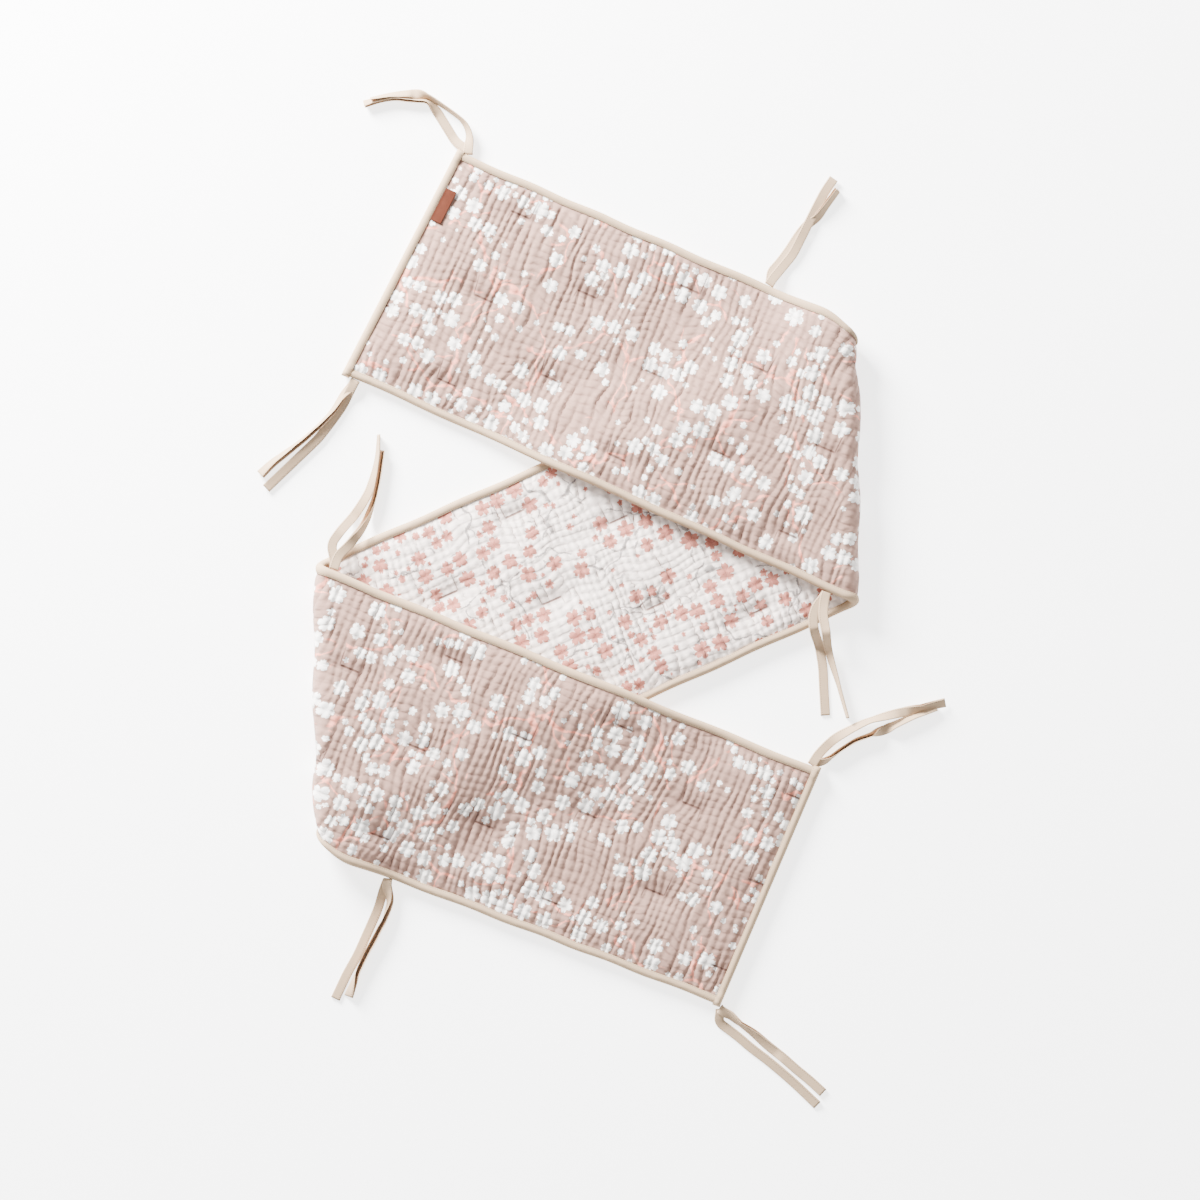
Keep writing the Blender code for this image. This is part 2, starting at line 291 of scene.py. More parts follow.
    def facing(self, centre: Array, across: Array) -> Array:
        """How far the printed face looks up: 1 on the outer sections and -1 on the middle one."""
        centre, across = np.broadcast_arrays(centre, across)
        station, y = self.unfolded(centre, across)
        return self.middle_surface(station, y)[3]

    def from_fold(self, centre: Array, across: Array) -> Array:
        """Distance along the cloth to the crown of the nearer fold."""
        station, _ = self.unfolded(centre, across)
        right = np.abs(station - 0.5 * (self.right_in + self.right_out))
        left = np.abs(station - 0.5 * (self.left_in + self.left_out))
        return np.minimum(right, left)


def grid_faces(columns: int, rows: int, first: int = 0, flip: bool = False) -> Array:
    """Quads of a grid of points stored column by column.

    Args:
        columns: Points along the first axis.
        rows: Points along the second axis.
        first: Index of the grid's first point.
        flip: Whether the quads wind the other way.

    Returns:
        An array of four indices for each quad.
    """
    index = first + np.arange(columns * rows).reshape(columns, rows)
    quads = np.stack([index[:-1, :-1], index[1:, :-1], index[1:, 1:], index[:-1, 1:]], axis=-1)
    quads = quads.reshape(-1, 4)
    return quads[:, ::-1] if flip else quads


def make_mesh(name: str, points: Array, faces: Array) -> bpy.types.Object:
    """A smooth-shaded mesh object at the origin.

    Args:
        name: Name of the object.
        points: Vertex positions.
        faces: Quads.

    Returns:
        The new object, linked to the scene.
    """
    mesh = bpy.data.meshes.new(name)
    mesh.from_pydata(points.reshape(-1, 3).tolist(), [], faces.tolist())
    mesh.polygons.foreach_set("use_smooth", np.ones(len(mesh.polygons), dtype=bool))
    mesh.update()
    piece = bpy.data.objects.new(name, mesh)
    bpy.context.collection.objects.link(piece)
    return piece


def write_vectors(piece: bpy.types.Object, name: str, values: Array) -> None:
    """Store one vector at each vertex, for a material to read.

    Args:
        piece: Object whose mesh is written.
        name: Name of the attribute.
        values: One vector for each vertex.
    """
    layer = piece.data.attributes.new(name, "FLOAT_VECTOR", "POINT")
    layer.data.foreach_set("vector", np.ascontiguousarray(values, dtype=np.float32).ravel())


def thicken(piece: bpy.types.Object, thickness: float, inner_slot: int = 0) -> None:
    """Give a surface a wall on its inner side.

    Args:
        piece: Object to thicken.
        thickness: Wall thickness.
        inner_slot: How many material slots further on the inner wall's material is.
    """
    wall = piece.modifiers.new("wall", "SOLIDIFY")
    wall.thickness = thickness
    wall.offset = -1.0
    wall.material_offset = inner_slot


def finish_piece(piece: bpy.types.Object, nodes: tuple[str, ...]) -> None:
    """Tell the frame what a new piece rides on and what it stands for: the CAD nodes that it replaces are hidden.

    Args:
        piece: The new piece.
        nodes: Names of the CAD nodes that it replaces.
    """
    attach(piece, ROOT_BODY)
    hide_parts(*nodes)
    LOG.info("%s: %d faces", piece.name, len(piece.data.polygons))


class Signal:
    """An output socket that takes arithmetic: a number gets Math nodes, and a vector Vector Math nodes."""

    def __init__(self, bench: NodeBench, socket: bpy.types.NodeSocket) -> None:
        """Keep the socket and the bench that it belongs to."""
        self.bench = bench
        self.socket = socket

    def math(self, kind: str, other: object = 0.0) -> Signal:
        """One Math node, with this number first."""
        return self.bench.add("ShaderNodeMath", {0: self, 1: other}, operation=kind)

    def vector(self, kind: str, other: object) -> Signal:
        """One Vector Math node, with this vector first."""
        second = "Scale" if kind == "SCALE" else 1
        return self.bench.add("ShaderNodeVectorMath", {0: self, second: other}, operation=kind)

    def either(self, kind: str, other: object) -> Signal:
        """The node of that kind which suits what this is, a number or a vector."""
        if self.socket.type == "VALUE":
            return self.math(kind, other)
        return self.vector("SCALE" if kind == "MULTIPLY" else kind, other)

    def __add__(self, other: object) -> Signal:
        """This and another."""
        return self.either("ADD", other)

    def __sub__(self, other: object) -> Signal:
        """This less another."""
        return self.either("SUBTRACT", other)

    def __mul__(self, other: object) -> Signal:
        """This times a number."""
        return self.either("MULTIPLY", other)

    def __truediv__(self, other: object) -> Signal:
        """This divided by a number."""
        return self.math("DIVIDE", other)

    def __pow__(self, other: object) -> Signal:
        """This to a power."""
        return self.math("POWER", other)

    def __abs__(self) -> Signal:
        """This without its sign."""
        return self.math("ABSOLUTE")

    def larger(self, other: object) -> Signal:
        """The larger of this and another."""
        return self.math("MAXIMUM", other)

    def smaller(self, other: object) -> Signal:
        """The smaller of this and another."""
        return self.math("MINIMUM", other)

    def above(self, limit: object) -> Signal:
        """1 above a limit, and otherwise 0."""
        return self.math("GREATER_THAN", limit)

    def below(self, limit: object) -> Signal:
        """1 below a limit, and otherwise 0."""
        return self.math("LESS_THAN", limit)

    def sine(self) -> Signal:
        """The sine of this angle."""
        return self.math("SINE")

    def cosine(self) -> Signal:
        """The cosine of this angle."""
        return self.math("COSINE")

    def ramp(self, low: float, high: float) -> Signal:
        """A smooth step from 0 at low to 1 at high, where low may be the larger."""
        bottom, top = (0.0, 1.0) if low <= high else (1.0, 0.0)
        limits = {"From Min": min(low, high), "From Max": max(low, high), "To Min": bottom, "To Max": top}
        inputs = {"Value": self, **limits}
        return self.bench.add("ShaderNodeMapRange", inputs, "Result", interpolation_type="SMOOTHSTEP")

    def output(self, name: int | str) -> Signal:
        """Another output of the same node."""
        return Signal(self.bench, self.socket.node.outputs[name])

    def split(self) -> tuple[Signal, ...]:
        """The three parts of a vector."""
        first = self.bench.add("ShaderNodeSeparateXYZ", {0: self})
        return tuple(first.output(number) for number in range(3))

    def length(self) -> Signal:
        """The length of a vector."""
        return self.bench.add("ShaderNodeVectorMath", {0: self}, "Value", operation="LENGTH")

    def noise(self, scale: float, detail: float = 2.0) -> Signal:
        """Noise from 0 to 1 at this place, at a scale in steps for each unit."""
        return self.bench.add("ShaderNodeTexNoise", {"Vector": self, "Scale": scale, "Detail": detail}, "Fac")

    def noises(self, scale: float) -> Signal:
        """Three plain noises at once, each from 0 to 1."""
        return self.noise(scale, 1.0).output("Color")

    def cells(self, randomness: float, feature: str = "F1") -> Signal:
        """The distance that a flat Voronoi texture of unit cells gives at this place."""
        inputs = {"Vector": self, "Scale": 1.0, "Randomness": randomness}
        kinds = {"voronoi_dimensions": "2D", "feature": feature}
        return self.bench.add("ShaderNodeTexVoronoi", inputs, "Distance", **kinds)


@dataclass
class NodeBench:
    """The shader nodes of one material, with short ways to add to them."""

    material: bpy.types.Material

    @property
    def shader(self) -> bpy.types.Node:
        """The Principled shader."""
        return self.material.node_tree.nodes["Principled BSDF"]

    def put(self, socket: bpy.types.NodeSocket, value: object) -> None:
        """Join a socket to a signal, or set its value."""
        if isinstance(value, Signal):
            self.material.node_tree.links.new(value.socket, socket)
        else:
            socket.default_value = value

    def set(self, name: str, value: object) -> None:
        """Join or set one input of the Principled shader."""
        self.put(self.shader.inputs[name], value)

    def add(self, kind: str, inputs: dict[int | str, object], output: int | str = 0, **settings: str) -> Signal:
        """Add one node.

        Args:
            kind: Name of the node's type.
            inputs: Signals or values, by the number or name of the input.
            output: Number or name of the output that is wanted.
            settings: Options of the node.

        Returns:
            The wanted output.
        """
        node = self.material.node_tree.nodes.new(kind)
        for name, value in settings.items():
            setattr(node, name, value)
        for name, value in inputs.items():
            self.put(node.inputs[name], value)
        return Signal(self, node.outputs[output])

    def attribute(self, name: str) -> Signal:
        """A vector attribute of the mesh."""
        return self.add("ShaderNodeAttribute", {}, "Vector", attribute_name=name)

    def join(self, x: object, y: object) -> Signal:
        """A flat vector from two parts."""
        return self.add("ShaderNodeCombineXYZ", {0: x, 1: y})

    def blend(self, share: object, first: object, second: object) -> Signal:
        """A colour between two colours: of the Mix node's inputs, numbers 6 and 7 are its colours."""
        return self.add("ShaderNodeMix", {0: share, 6: first, 7: second}, 2, data_type="RGBA")

    def bump(self, height: Signal, strength: float, distance: float) -> None:
        """Raise the surface's shading by a height from 0 to 1."""
        inputs = {"Strength": strength, "Distance": distance, "Height": height}
        self.set("Normal", self.add("ShaderNodeBump", inputs, "Normal"))


def new_material(name: str, colour: Colour, roughness: float) -> NodeBench:
    """A Principled material with an even colour.

    Args:
        name: Name of the material.
        colour: Linear base colour.
        roughness: Roughness of the whole surface.

    Returns:
        The bench on which its nodes are added.
    """
    material = bpy.data.materials.new(name)
    material.use_nodes = True
    bench = NodeBench(material)
    bench.set("Base Color", toned(colour, 1.0))
    bench.set("Roughness", roughness)
    bench.set("Specular IOR Level", 0.2)
    return bench


@dataclass(frozen=True)
class TackLattice:
    """The staggered rows of tacks: short bars, each pulling an L of pleats across the strip."""

    rows: int = 5
    row_pitch: float = 0.0555
    pitch: float = 0.222
    first: float = 0.102
    bar_half: float = 0.0125
    long_leg: float = 0.034
    short_leg: float = 0.016
    chance_row: float = 12.9898
    chance_step: float = 78.233
    chance_scale: float = 43.7585
    end_clear: float = 0.03
    last_step: int = 8

    def chance(self, row: Array, step: Array) -> Array:
        """A number from 0 to 1 for each tack: the fraction of a large multiple of a sine."""
        value = np.sin(row * self.chance_row + step * self.chance_step) * self.chance_scale
        return value - np.floor(value)

    def places(self, length: float) -> Array:
        """Distance along and across of each tack, and its chance, away from the strip's ends."""
        rows = np.arange(self.rows) - self.rows // 2
        row, step = np.meshgrid(rows, np.arange(-1, self.last_step + 1), indexing="ij")
        centre = self.first + self.pitch * (step + 0.5 * (np.abs(row) % 2))
        found = np.stack([centre, row * self.row_pitch, self.chance(row, step)], axis=-1).reshape(-1, 3)
        return found[(found[:, 0] > self.end_clear) & (found[:, 0] < length - self.end_clear)]


@dataclass(frozen=True)
class Spot:
    """The nearest point of an uneven scatter, for a blossom to be drawn round it."""

    distance: Signal
    chances: tuple[Signal, ...]
    neighbour: Signal
    centre: Signal
    away: Signal


@dataclass(frozen=True)
class PrintFinish:
    """Crinkled double gauze printed with blossoms on branching twigs; its lengths are in millimetres."""

    name: str
    ground: Colour
    petal: Colour
    heart: Colour
    heart_strength: float
    twig: Colour
    twig_half_width: float
    # Colour and strength of the painted shade laid on the rib valleys and at the tacks.
    painted_crease_shade: Colour
    painted_crease_shade_strength: float
    seed: float
    branch_pitch: float = 96.0
    spray_pitch: float = 50.0
    flower_pitch: float = 23.5
    uneven: float = 0.66
    largest: float = 12.2
    bud_pitch: float = 14.5
    bud_size: float = 5.0
    reach: float = 10.0
    reach_span: float = 36.0

    def network(self, place: Signal, pitch: float, seed: float) -> Signal:
        """Distance from a net of wandering twigs: the edges between large cells, bent by noise.

        Args:
            place: Place on the strip.
            pitch: Size of the cells.
            seed: Moves the net.

        Returns:
            The distance.
        """
        sway = place.noises(2.6 / pitch) - MIDDLE
        bent = place + sway * (0.42 * pitch)
        spot = bent * (1.0 / pitch) + (seed, 2.3 * seed, 0.0)
        return spot.cells(1.0, "DISTANCE_TO_EDGE") * pitch

    def petals(self, away: Signal, turned: Signal, scale: Signal, shown: Signal) -> tuple[Signal, ...]:
        """One blossom: five broad petals, each with a small notch at its tip.

        The outline is a power of the cosine of five half turns, and the heart has a line for each petal.

        Args:
            away: Place from the blossom's centre.
            turned: Its turn, from 0 to 1.
            scale: Its size.
            shown: 1 where there is a blossom, and otherwise 0.

        Returns:
            Masks of the petals, of a thin rim round them, and of the lines at the heart.
        """
        away_x, away_y, _ = away.split()
        reach = away.length()
        half = (turned * FULL_TURN + away_y.math("ARCTAN2", away_x)) * 2.5
        lobe = abs(half.cosine())
        notch = abs(half.sine()).ramp(0.34, 0.0) * 0.15
        inside = (lobe**0.55 * 0.54 + 0.46 - notch) * scale - reach
        heart = (lobe * reach).ramp(1.1, 0.4) * (reach / scale).ramp(0.58, 0.40)
        return inside.ramp(-0.3, 0.4) * shown, inside.ramp(-1.7, -1.0) * shown, heart * shown

    def flowers(self, place: Signal) -> tuple[Signal, ...]:
        """Masks of the open blossoms: beside a twig, each as large as its room allows, so that none touch."""
        spot = self.nearest(place, self.flower_pitch, self.uneven, 0.0)
        turned, sized, kept = spot.chances
        small = sized.below(0.16) * (0.42 * self.largest)
        wanted = sized * (0.30 * self.largest) + 0.72 * self.largest - small
        scale = (spot.neighbour * (0.55 * self.flower_pitch)).smaller(wanted)
        branch = self.network(spot.centre, self.branch_pitch, self.seed)
        near = branch.below(spot.centre.noise(1.0 / 75.0, 0.0) * self.reach_span + self.reach)
        shown = near * branch.above(3.2) * kept.above(0.05)
        return self.petals(spot.away, turned, scale, shown)

    def buds(self, place: Signal) -> tuple[Signal, ...]:
        """Masks of the small blossoms: in the room that the open ones leave, and a little further out."""
        spot = self.nearest(place, self.bud_pitch, 0.9, 37.0)
        turned, sized, kept = spot.chances
        wanted = sized * (0.55 * self.bud_size) + 0.75 * self.bud_size
        scale = (spot.neighbour * (0.50 * self.bud_pitch)).smaller(wanted)
        free = self.nearest(spot.centre, self.flower_pitch, self.uneven, 0.0).distance.above(0.54)
        branch = self.network(spot.centre, self.branch_pitch, self.seed)
        near = branch.below(self.reach + 0.75 * self.reach_span)
        return self.petals(spot.away, turned, scale, near * free * kept.above(0.50))

    def nearest(self, place: Signal, pitch: float, uneven: float, shift: float) -> Spot:
        """The nearest point of an uneven scatter.

        Args:
            place: Place on the strip.
            pitch: Mean spacing.
            uneven: How uneven the scatter is, from 0 to 1.
            shift: Moves the scatter.

        Returns:
            How far it is and how far its own neighbour is, as shares of the spacing, with its chances and place.
        """
        offset = (shift + self.seed, 1.7 * shift + self.seed, 0.0)
        spot = place * (1.0 / pitch) + offset
        distance = spot.cells(uneven)
        centre = distance.output("Position")
        chances = distance.output("Color").split()
        neighbour = centre.cells(uneven, "F2")
        return Spot(distance, chances, neighbour, (centre - offset) * pitch, (spot - centre) * pitch)

    def painted_tack_shade(self, along: Signal, across: Signal, lattice: TackLattice) -> Signal:
        """Painted shade at the tacks: a dark bar along the strip, a dark leg across it from each end, a soft halo
        round the bar and a trail along the cloth.

        Args:
            along: Millimetres along the strip.
            across: Millimetres across it.
            lattice: Where the tacks are.

        Returns:
            A mask of painted shade, from 0 to 1.
        """
        row_pitch, pitch, half = lattice.row_pitch / MM, lattice.pitch / MM, lattice.bar_half / MM
        row = (across / row_pitch).math("ROUND")
        aside = across - row * row_pitch
        ahead = along - abs(row).math("MODULO", 2.0) * (0.5 * pitch) - lattice.first / MM
        step = (ahead / pitch).math("ROUND")
        ahead = ahead - step * pitch
        phase = row * lattice.chance_row + step * lattice.chance_step
        chance = (phase.sine() * lattice.chance_scale).math("FRACT")
        way = (chance - 0.5).math("SIGN")
        # The bar is a dark line of painted shade in the pinch of the tack.
        bar = abs(aside).ramp(2.1, 0.7) * abs(ahead).ramp(1.3 * half, 0.8 * half)
        beyond = (abs(ahead) - half).larger(0.0)
        # Painted shade round the bar, reaching further on the side of positive across, as for cloth that slopes
        # away from the light.
        uphill = aside.above(0.0) * -1.15 + 1.8
        halo_shade = along.bench.join(beyond, aside * uphill).length().ramp(12.0, 0.0)
        onward = ahead * way
        # Painted shade along the trough that runs on from one end of the bar.
        trail_shade = onward.ramp(0.5 * half, half) * onward.ramp(5.0 * half, half) * abs(aside).ramp(4.0, 0.0)
        mask = bar.larger(halo_shade * 0.42).larger(trail_shade * 0.38)
        lean = aside * (chance * 0.24 - 0.12)
        # Each leg is a dark line of painted shade in a pleat.
        for end, length, strength in ((1.0, lattice.long_leg, 0.85), (-1.0, lattice.short_leg, 0.6)):
            out = aside * end
            line = abs(way * (-end * half) + ahead - lean)
            body = out.ramp(-1.0, 0.5) * out.ramp(length / MM, 0.2 * length / MM)
            mask = mask.larger(line.ramp(1.2, 0.3) * body * strength)
        return mask

    def make(self, lattice: TackLattice) -> bpy.types.Material:
        """Build the material.

        Args:
            lattice: Where the tacks are.

        Returns:
            A material that reads the strip and rib attributes of the quilted pad.
        """
        bench = new_material(self.name, self.ground, 0.95)
        strip = bench.attribute("strip")
        rib_phase, rib_depth, cross_phase = bench.attribute("rib").split()
        wander, broken, puckered = strip.vector("MULTIPLY", (0.11, 0.16, 0.0)).noises(1.0).split()
        rib_phase = rib_phase + (wander * 0.5 - 0.25)
        rib_depth = rib_depth * (broken.ramp(0.38, 0.62) * 0.75 + 0.25)
        rib_angle = rib_phase * FULL_TURN
        cross_angle = cross_phase * FULL_TURN
        jagged = strip.noises(0.6) - MIDDLE
        shift = bench.join(rib_angle.sine() * 0.6, cross_angle.sine() * 0.4)
        place = strip + jagged * 2.6 + shift
        along, across, _ = (strip + jagged * 0.9).split()
        # Painted shade: dark lines in the deeper rib valleys, a broad soft shade round them, fainter lines in the
        # cross rib valleys, and the shade at the tacks.
        tack = self.painted_tack_shade(along, across, lattice)
        valley = self.valley(rib_phase, rib_depth, 0.10)
        hollow_shade = self.valley(rib_phase, rib_depth * 0.30, 0.45)
        cross_valley_shade = self.valley(cross_phase, puckered.ramp(0.30, 0.75), 0.24) * 0.42
        painted_crease_shade = valley.larger(cross_valley_shade).larger(tack.larger(hollow_shade))
        weave = self.weave(strip)
        # Ground tone: random tone and the gauze's threads, with painted light and shade on the two sides of each
        # rib and each cross rib, as lit and shaded copies of the ground colour.
        tone_and_rib_shade = strip.noise(1.0 / 16.0) - rib_angle.sine() * 0.16 + cross_angle.sine() * 0.12 + weave * 0.25
        ground = bench.blend(tone_and_rib_shade.ramp(0.1, 1.0), toned(self.ground, 0.78), toned(self.ground, 1.13))
        colour = self.figure(bench, place, ground)
        # The painted shade is laid over the print in its own dark colour; the same lines also dent the bump
        # below.
        bench.set("Base Color", bench.blend(painted_crease_shade * self.painted_crease_shade_strength, colour, toned(self.painted_crease_shade, 1.0)))
        bench.set("Sheen Weight", 0.1)
        bench.set("Sheen Roughness", 0.6)
        rounded = rib_angle.cosine() * -0.15 + 0.5 - cross_angle.cosine() * 0.11
        bench.bump(rounded - painted_crease_shade * 0.60 + puckered * 0.35 + weave * 0.08, 0.9, 0.0016)
        return bench.material

    def figure(self, bench: NodeBench, place: Signal, ground: Signal) -> Signal:
        """Twigs, buds and open blossoms laid over the ground.

        Args:
            bench: Bench of the material.
            place: Place on the strip.
            ground: Colour of the ground.

        Returns:
            The colour of the print.
        """
        patchy = place.noise(1.0 / 34.0, 1.0)
        branch = self.network(place, self.branch_pitch, self.seed)
        spray = self.network(place, self.spray_pitch, self.seed + 5.0)
        thick, thin = self.twig_half_width, 0.7 * self.twig_half_width
        main_twig = branch.ramp(thick + 0.5, thick - 0.4) * patchy.ramp(0.42, 0.47)
        side_twig = spray.ramp(thin + 0.5, thin - 0.3) * patchy.ramp(0.50, 0.56) * branch.ramp(26.0, 20.0)
        colour = bench.blend(main_twig.larger(side_twig) * 0.9, ground, toned(self.twig, 1.0))
        for petals, rim, heart in (self.buds(place), self.flowers(place)):
            colour = bench.blend(rim * 0.8, colour, ground)
            colour = bench.blend(petals, colour, toned(self.petal, 1.0))
            colour = bench.blend(heart * petals * self.heart_strength, colour, toned(self.heart, 1.0))
        return colour

    @staticmethod
    def valley(phase: Signal, depth: Signal, width: float) -> Signal:
        """Painted shade along the valleys between ribs, stronger where the valley is deep."""
        return abs(phase - phase.math("ROUND")).ramp(width, 0.1 * width) * depth

    @staticmethod
    def weave(strip: Signal) -> Signal:
        """The uneven threads of the gauze, one set each way, from 0 to 1."""
        warp = strip.vector("MULTIPLY", (1.6, 0.16, 0.0)).noise(1.0, 1.0)
        weft = strip.vector("MULTIPLY", (0.16, 1.4, 0.0)).noise(1.0, 1.0)
        return (warp + weft) * 0.5


@dataclass(frozen=True)
class TapeFinish:
    """Plain cotton tape with a line of stitches near each edge."""

    name: str = "trim_cloth"
    colour: Colour = (0.43, 0.305, 0.195)
    stitch_shade: float = 0.75

    def make(self, stitch_at: float) -> bpy.types.Material:
        """Build the material.

        Args:
            stitch_at: Where the stitches run, as the tape attribute's second number.

        Returns:
            A material that reads the tape attribute: millimetres along, share across.
        """
        bench = new_material(self.name, self.colour, 0.88)
        tape = bench.attribute("tape")
        along, across, _ = tape.split()
        weave = (along * 6.0).sine() * (across * 95.0).sine() * 0.5 + 0.5
        from_edge = across.smaller(across * -1.0 + 1.0)
        stitch = abs(from_edge - stitch_at).ramp(0.026, 0.008) * (along * 2.3).sine().ramp(-0.5, 0.1)
        colour = bench.blend(tape.noise(0.35), toned(self.colour, 0.94), toned(self.colour, 1.05))
        colour = bench.blend(weave * 0.12, colour, toned(self.colour, 0.6))
        colour = bench.blend(stitch * self.stitch_shade, colour, toned(self.colour, 0.5))
        bench.set("Base Color", colour)
        bench.bump(weave * 0.25 - stitch * 0.8, 0.5, 0.0004)
        return bench.material


@dataclass(frozen=True)
class LeatherFinish:
    """Smooth brown leather with a fine grain."""

    name: str = "leather"
    colour: Colour = (0.058, 0.0150, 0.0075)
    roughness: float = 0.75
    shine: float = 0.06
    grain: float = 1400.0
    cloud: float = 160.0

    def make(self) -> bpy.types.Material:
        """Build the material.

        Returns:
            A material that reads Object coordinates.
        """
        bench = new_material(self.name, self.colour, self.roughness)
        bench.set("Specular IOR Level", self.shine)
        place = bench.add("ShaderNodeTexCoord", {}, "Object")
        colour = bench.blend(place.noise(self.cloud, 3.0), toned(self.colour, 0.75), toned(self.colour, 1.25))
        bench.set("Base Color", colour)
        bench.bump(place.noise(self.grain, 4.0), 0.4, 0.0003)
        return bench.material


@dataclass
class QuiltedPad:
    """The filled strip: crown, bound edge, tacks with their pleats, and the crinkle of the gauze."""

    strip: FoldedStrip
    columns: int = 1150
    rows: int = 96
    crown_half: float = 0.008
    fold_crown_share: float = 0.80
    edge_half: float = 0.0025
    bound_half: float = 0.0032
    bound_depth: float = 0.011
    crown_reach: float = 0.016
    flat_share: float = 1.35
    wall: float = 0.0015
    lattice: TackLattice = field(default_factory=TackLattice)
    tack_reach: float = 0.021
    tack_depth: float = 0.94
    tack_power: float = 1.15
    pull_depth: float = 0.42
    pull_reach: float = 0.032
    pull_width: float = 0.0085
    rib_pitch: float = 0.0096
    cross_pitch: float = 0.0100
    gather_reach: float = 0.012
    tack_window: float = 0.15
    close_reach: float = 0.024
    rib_height: float = 0.00045
    valley_depth: float = 0.0014
    valley_width: float = 0.15
    lump_height: float = 0.0011
    seed: int = 11

    def inset(self, centre: Array, across: Array) -> Array:
        """Distance in from the nearest edge of the pad."""
        side = 0.5 * self.strip.width - self.wall - np.abs(across)
        end = np.minimum(centre, self.strip.length - centre) - self.wall
        return np.maximum(np.minimum(side, end), 0.0)

    def tack_share(self, along: Array, across: Array) -> tuple[Array, Array]:
        """Share of the crown left by the tacks, and how close each point is to one.

        Each tack is a short bar. The crown falls to it by an exponential of the distance from the bar, and
        a shallow trough runs on from the bar along the cloth, further on one side than on the other.

        Args:
            along: Distances along the cloth.
            across: Distances across it, as a row.

        Returns:
            The share left, and a closeness from 0 to 1.
        """
        left = np.ones(np.broadcast(along, across).shape)
        close = np.zeros_like(left)
        for place, height, chance in self.lattice.places(self.strip.length):
            near = (np.abs(along - place) < self.tack_window).any(axis=1)
            ahead = (along[near] - place) * np.sign(chance - 0.5)
            past = np.maximum(np.abs(ahead) - self.lattice.bar_half, 0.0)
            distance = np.hypot(past, across - height)
            left[near] *= 1.0 - self.tack_depth * np.exp(-((distance / self.tack_reach) ** self.tack_power))
            reach = np.where(ahead > 0.0, self.pull_reach, 0.4 * self.pull_reach)
            drawn = self.pull_depth * np.exp(-past / reach)
            left[near] *= 1.0 - drawn * np.exp(-(((across - height) / self.pull_width) ** 2))
            close[near] = np.maximum(close[near], np.exp(-((distance / self.close_reach) ** 2)))
        return left, close

    def rib_phase(self, centre: Array, across: Array) -> Array:
        """Count of ribs along the strip, bent by slow noise so that they wander and bunch."""
        slow = SoftNoise(self.seed + 1)(centre / 0.060, across / 0.090)
        quick = SoftNoise(self.seed + 2)(centre / 0.017, across / 0.030)
        return centre / self.rib_pitch + 0.75 * slow + 0.38 * quick

    def rib_depth(self, phase: Array, centre: Array, across: Array, close: Array) -> Array:
        """Strength of the nearest rib's valley, from 0 to 1: its own, and deeper by a tack or a binding."""
        nearest = np.round(phase)
        own = SoftNoise(self.seed + 3)(nearest * 0.731, across / 0.026 + nearest * 5.37)
        patch = SoftNoise(self.seed + 4)(centre / 0.045, across / 0.045)
        side = 0.5 * self.strip.width - self.bound_depth - np.abs(across)
        gathered = np.exp(-np.maximum(side, 0.0) / self.gather_reach)
        return np.clip(0.18 + 0.88 * own + 0.30 * patch + 0.30 * close + 0.35 * gathered, 0.02, 1.0)

    def cross_phase(self, centre: Array, across: Array) -> Array:
        """Count of the weaker ribs that run along the strip."""
        return across / self.cross_pitch + 0.7 * SoftNoise(self.seed + 5)(centre / 0.03, across / 0.05)

    def relief(self, centre: Array, across: Array, phase: Array, cross: Array, depth: Array) -> Array:
        """Crinkle of the gauze: rounded ribs between sharp valleys, weaker ribs the other way, and lumps."""
        nearest = np.abs(phase - np.round(phase))
        valley = self.valley_depth * depth * np.exp(-((nearest / self.valley_width) ** 2))
        ribs = self.rib_height * np.sin(np.pi * nearest) - valley
        crossed = self.rib_height * np.abs(np.sin(np.pi * cross))
        lumps = self.lump_height * SoftNoise(self.seed + 6)(centre / 0.034, across / 0.028)
        return ribs + crossed + lumps

    def bound(self, inset: Array) -> Array:
        """Half the thickness of the bound edge, at distances in from it."""
        return self.edge_half + (self.bound_half - self.edge_half) * np.clip(inset / self.bound_depth, 0.0, 1.0)

    def half_thickness(self, centre: Array, across: Array, share: Array) -> Array:
        """Half the pad's thickness: a bound edge, then a crown that fills in by an exponential."""
        inset = self.inset(centre, across)
        cushion = 1.0 - np.exp(-np.maximum(inset - self.bound_depth, 0.0) / self.crown_reach)
        folded = smooth(1.5 - self.strip.from_fold(centre, across) / self.strip.fold_reach * 2.0)
        crown = self.crown_half * (1.0 - (1.0 - self.fold_crown_share) * folded)
        return self.bound(inset) + (crown - self.bound_half) * cushion * share

    def layer(self, centre: Array, across: Array, side: Side) -> tuple[Array, Array]:
        """Positions and rib attribute of one face.

        Args:
            centre: Distances along the strip, as a column.
            across: Distances across it, as a row.
            side: Which face.

        Returns:
            Positions, and rib phase, valley strength and cross rib phase.
        """
        along = self.strip.along(centre, across)
        share, close = self.tack_share(along, across)
        phase = self.rib_phase(along, across) + (0.0 if side is Side.FACE else 0.37)
        depth = self.rib_depth(phase, along, across, close)
        cross = self.cross_phase(along, across)
        relief = self.relief(along, across, phase, cross, depth)
        half = self.half_thickness(centre, across, share)
        inset = self.inset(centre, across)
        free = smooth((inset - self.bound_depth + 0.002) / 0.005)
        under = smooth(0.5 - side.value * self.strip.facing(centre, across) * 2.0)
        flattened = np.minimum(half * self.flat_share, self.crown_half)
        resting = np.maximum(flattened, half)
        half = np.where(inset <= self.bound_depth, half, half + (resting - half) * under)
        half = half + relief * free * (1.0 - 0.75 * under)
        place = self.strip.lay(centre, across, side.value * half)
        place[..., 2] = np.maximum(place[..., 2], FLOOR_GAP)
        return place, np.stack(np.broadcast_arrays(phase, depth * free, cross), axis=-1)

